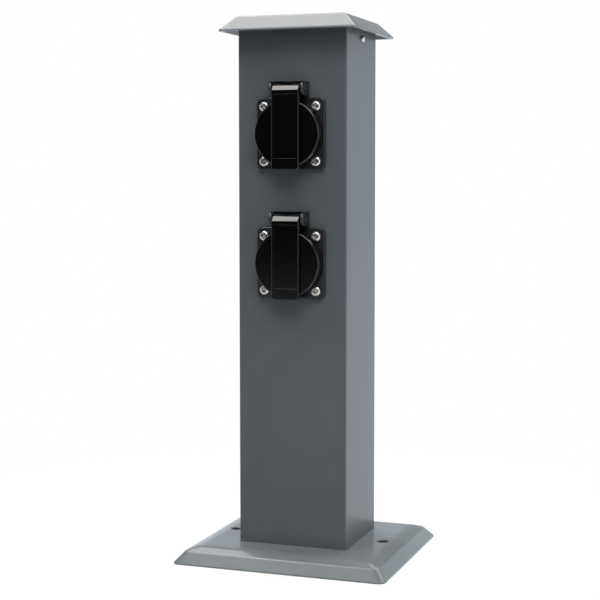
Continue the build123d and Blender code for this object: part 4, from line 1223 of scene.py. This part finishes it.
def surroundings():
    """White for the camera. In mirrors, white walls: low round the sides and back, high ahead."""
    world = bpy.data.worlds.new("surroundings")
    bpy.context.scene.world = world
    world.use_nodes = True
    work = NodeWork(world.node_tree)
    aim = work.node("TexCoord", "Generated")
    ahead = (work.part(aim, "Y") * -1).ramp(*FRONT_SIDE)
    up = work.part(aim, "Z")
    camera = work.node("LightPath", "Is Camera Ray")
    walls = ahead * up.ramp(*FRONT_WALL) + (1 - ahead) * (1 - up.ramp(*BACK_WALL))
    strength = camera.maths("MAXIMUM", mirrored_ray(work) * walls)
    terms = {"Color": work.blend(ROOM_TINT, WHITE, camera), "Strength": strength}
    work.fill(work.tree.nodes["Background"], terms)


def floor_paint(work, camera, distance, aside, ahead):
    """The matt floor, which throws more light up beside the object and less ahead and far off."""
    near = FLOOR_MIDDLE + aside.ramp(*FLOOR_ASIDE) * FLOOR_ASIDE_GAIN
    near = near - ahead.ramp(*FLOOR_AHEAD) * FLOOR_AHEAD_LOSS
    albedo = FLOOR_EDGE + (1 - distance.ramp(*FLOOR_DIMS)) * (near - FLOOR_EDGE)
    tint = work.blend(FLOOR_PAINT, WHITE, camera)
    paint = work.blend(BLACK, tint, camera.maths("MAXIMUM", albedo))
    return work.node("BsdfDiffuse", terms={"Color": paint})


def floor_glow(work, camera):
    """The white floor that the camera sees and that glossy surfaces mirror."""
    tint = work.blend(FLOOR_TINT, WHITE, camera)
    return work.node("Emission", terms={"Color": tint, "Strength": 1.0})


def glow_share(work, camera, distance, ahead):
    """How much the floor glows: for the camera less near the shadow, in mirrors less in front."""
    clean = 1 - (1 - distance.ramp(*SHADOW_FADES)) * SHADOW_SHARE
    distant = ahead.ramp(*FLOOR_RISES) - ahead.ramp(*FLOOR_FAR)
    bright = 1 - ahead.ramp(*FLOOR_FRONT) + distant * FRONT_GLOSS
    return camera * clean + mirrored_ray(work) * bright


def studio_floor():
    """A pale floor that keeps the object's shadow near it and is white further off."""
    bpy.ops.object.select_all(action="DESELECT")
    bpy.ops.mesh.primitive_plane_add(size=FLOOR_SIZE)
    floor = bpy.context.object
    floor.name = "studio_floor"
    made = bpy.data.materials.new("studio_floor")
    made.use_nodes = True
    work = NodeWork(made.node_tree)
    spot = work.node("TexCoord", "Object")
    distance = work.node("VectorMath", "Value", {"operation": "LENGTH"}, {0: spot})
    aside = work.part(spot, "X")
    ahead = work.part(spot, "Y") * -1
    camera = work.node("LightPath", "Is Camera Ray")
    matt = floor_paint(work, camera, distance, aside, ahead)
    share = glow_share(work, camera, distance, ahead)
    mixed = work.node("MixShader", terms={0: share, 1: matt, 2: floor_glow(work, camera)})
    work.fill(work.tree.nodes["Material Output"], {"Surface": mixed})
    floor.data.materials.append(made)


def soft_box(name, azimuth, elevation, spread, level, colour):
    """A rectangular lamp, turned to the object."""
    lamp = bpy.data.lights.new(name, "AREA")
    lamp.shape = "RECTANGLE"
    lamp.size, lamp.size_y = (
        2 * LAMP_REACH * math.tan(math.radians(angle / 2)) for angle in spread
    )
    lamp.energy = level * math.pi * lamp.size * lamp.size_y
    lamp.color = colour
    holder = bpy.data.objects.new(name, lamp)
    bpy.context.collection.objects.link(holder)
    turn = math.radians(azimuth)
    lift = math.radians(elevation)
    across = math.cos(lift)
    ray = Vector((math.sin(turn) * across, -math.cos(turn) * across, math.sin(lift)))
    holder.location = ray * LAMP_REACH + Vector((0, 0, LAMP_AIM))
    holder.rotation_euler = ray.to_track_quat("Z", "Y").to_euler()


# Camera
def photograph_camera():
    """The camera where the photograph was taken."""
    lens = bpy.data.cameras.new("camera")
    lens.sensor_width = SENSOR_WIDTH
    lens.lens = FOCAL_PIXELS / PICTURE_PIXELS * lens.sensor_width
    lens.shift_x = -AXIS_RIGHT_PIXELS / PICTURE_PIXELS
    lens.shift_y = -AXIS_UP_PIXELS / PICTURE_PIXELS
    lens.dof.use_dof = False
    camera = bpy.data.objects.new("camera", lens)
    bpy.context.collection.objects.link(camera)
    level = Vector((math.sin(CAMERA_AZIMUTH), -math.cos(CAMERA_AZIMUTH), 0))
    camera.location = level * CAMERA_REACH + Vector((0, 0, CAMERA_HEIGHT))
    back = level * math.cos(CAMERA_DOWN) + Vector((0, 0, math.sin(CAMERA_DOWN)))
    camera.rotation_euler = back.to_track_quat("Z", "Y").to_euler()
    bpy.context.scene.camera = camera


# The work, in order
dress_nodes()
make_column()
make_hood()
make_foot()
make_hood_screws()
make_outlets()
surroundings()
studio_floor()
for lamp_name, lamp_values in LAMPS.items():
    soft_box(lamp_name, *lamp_values)
photograph_camera()
bpy.context.scene.view_settings.view_transform = "Standard"
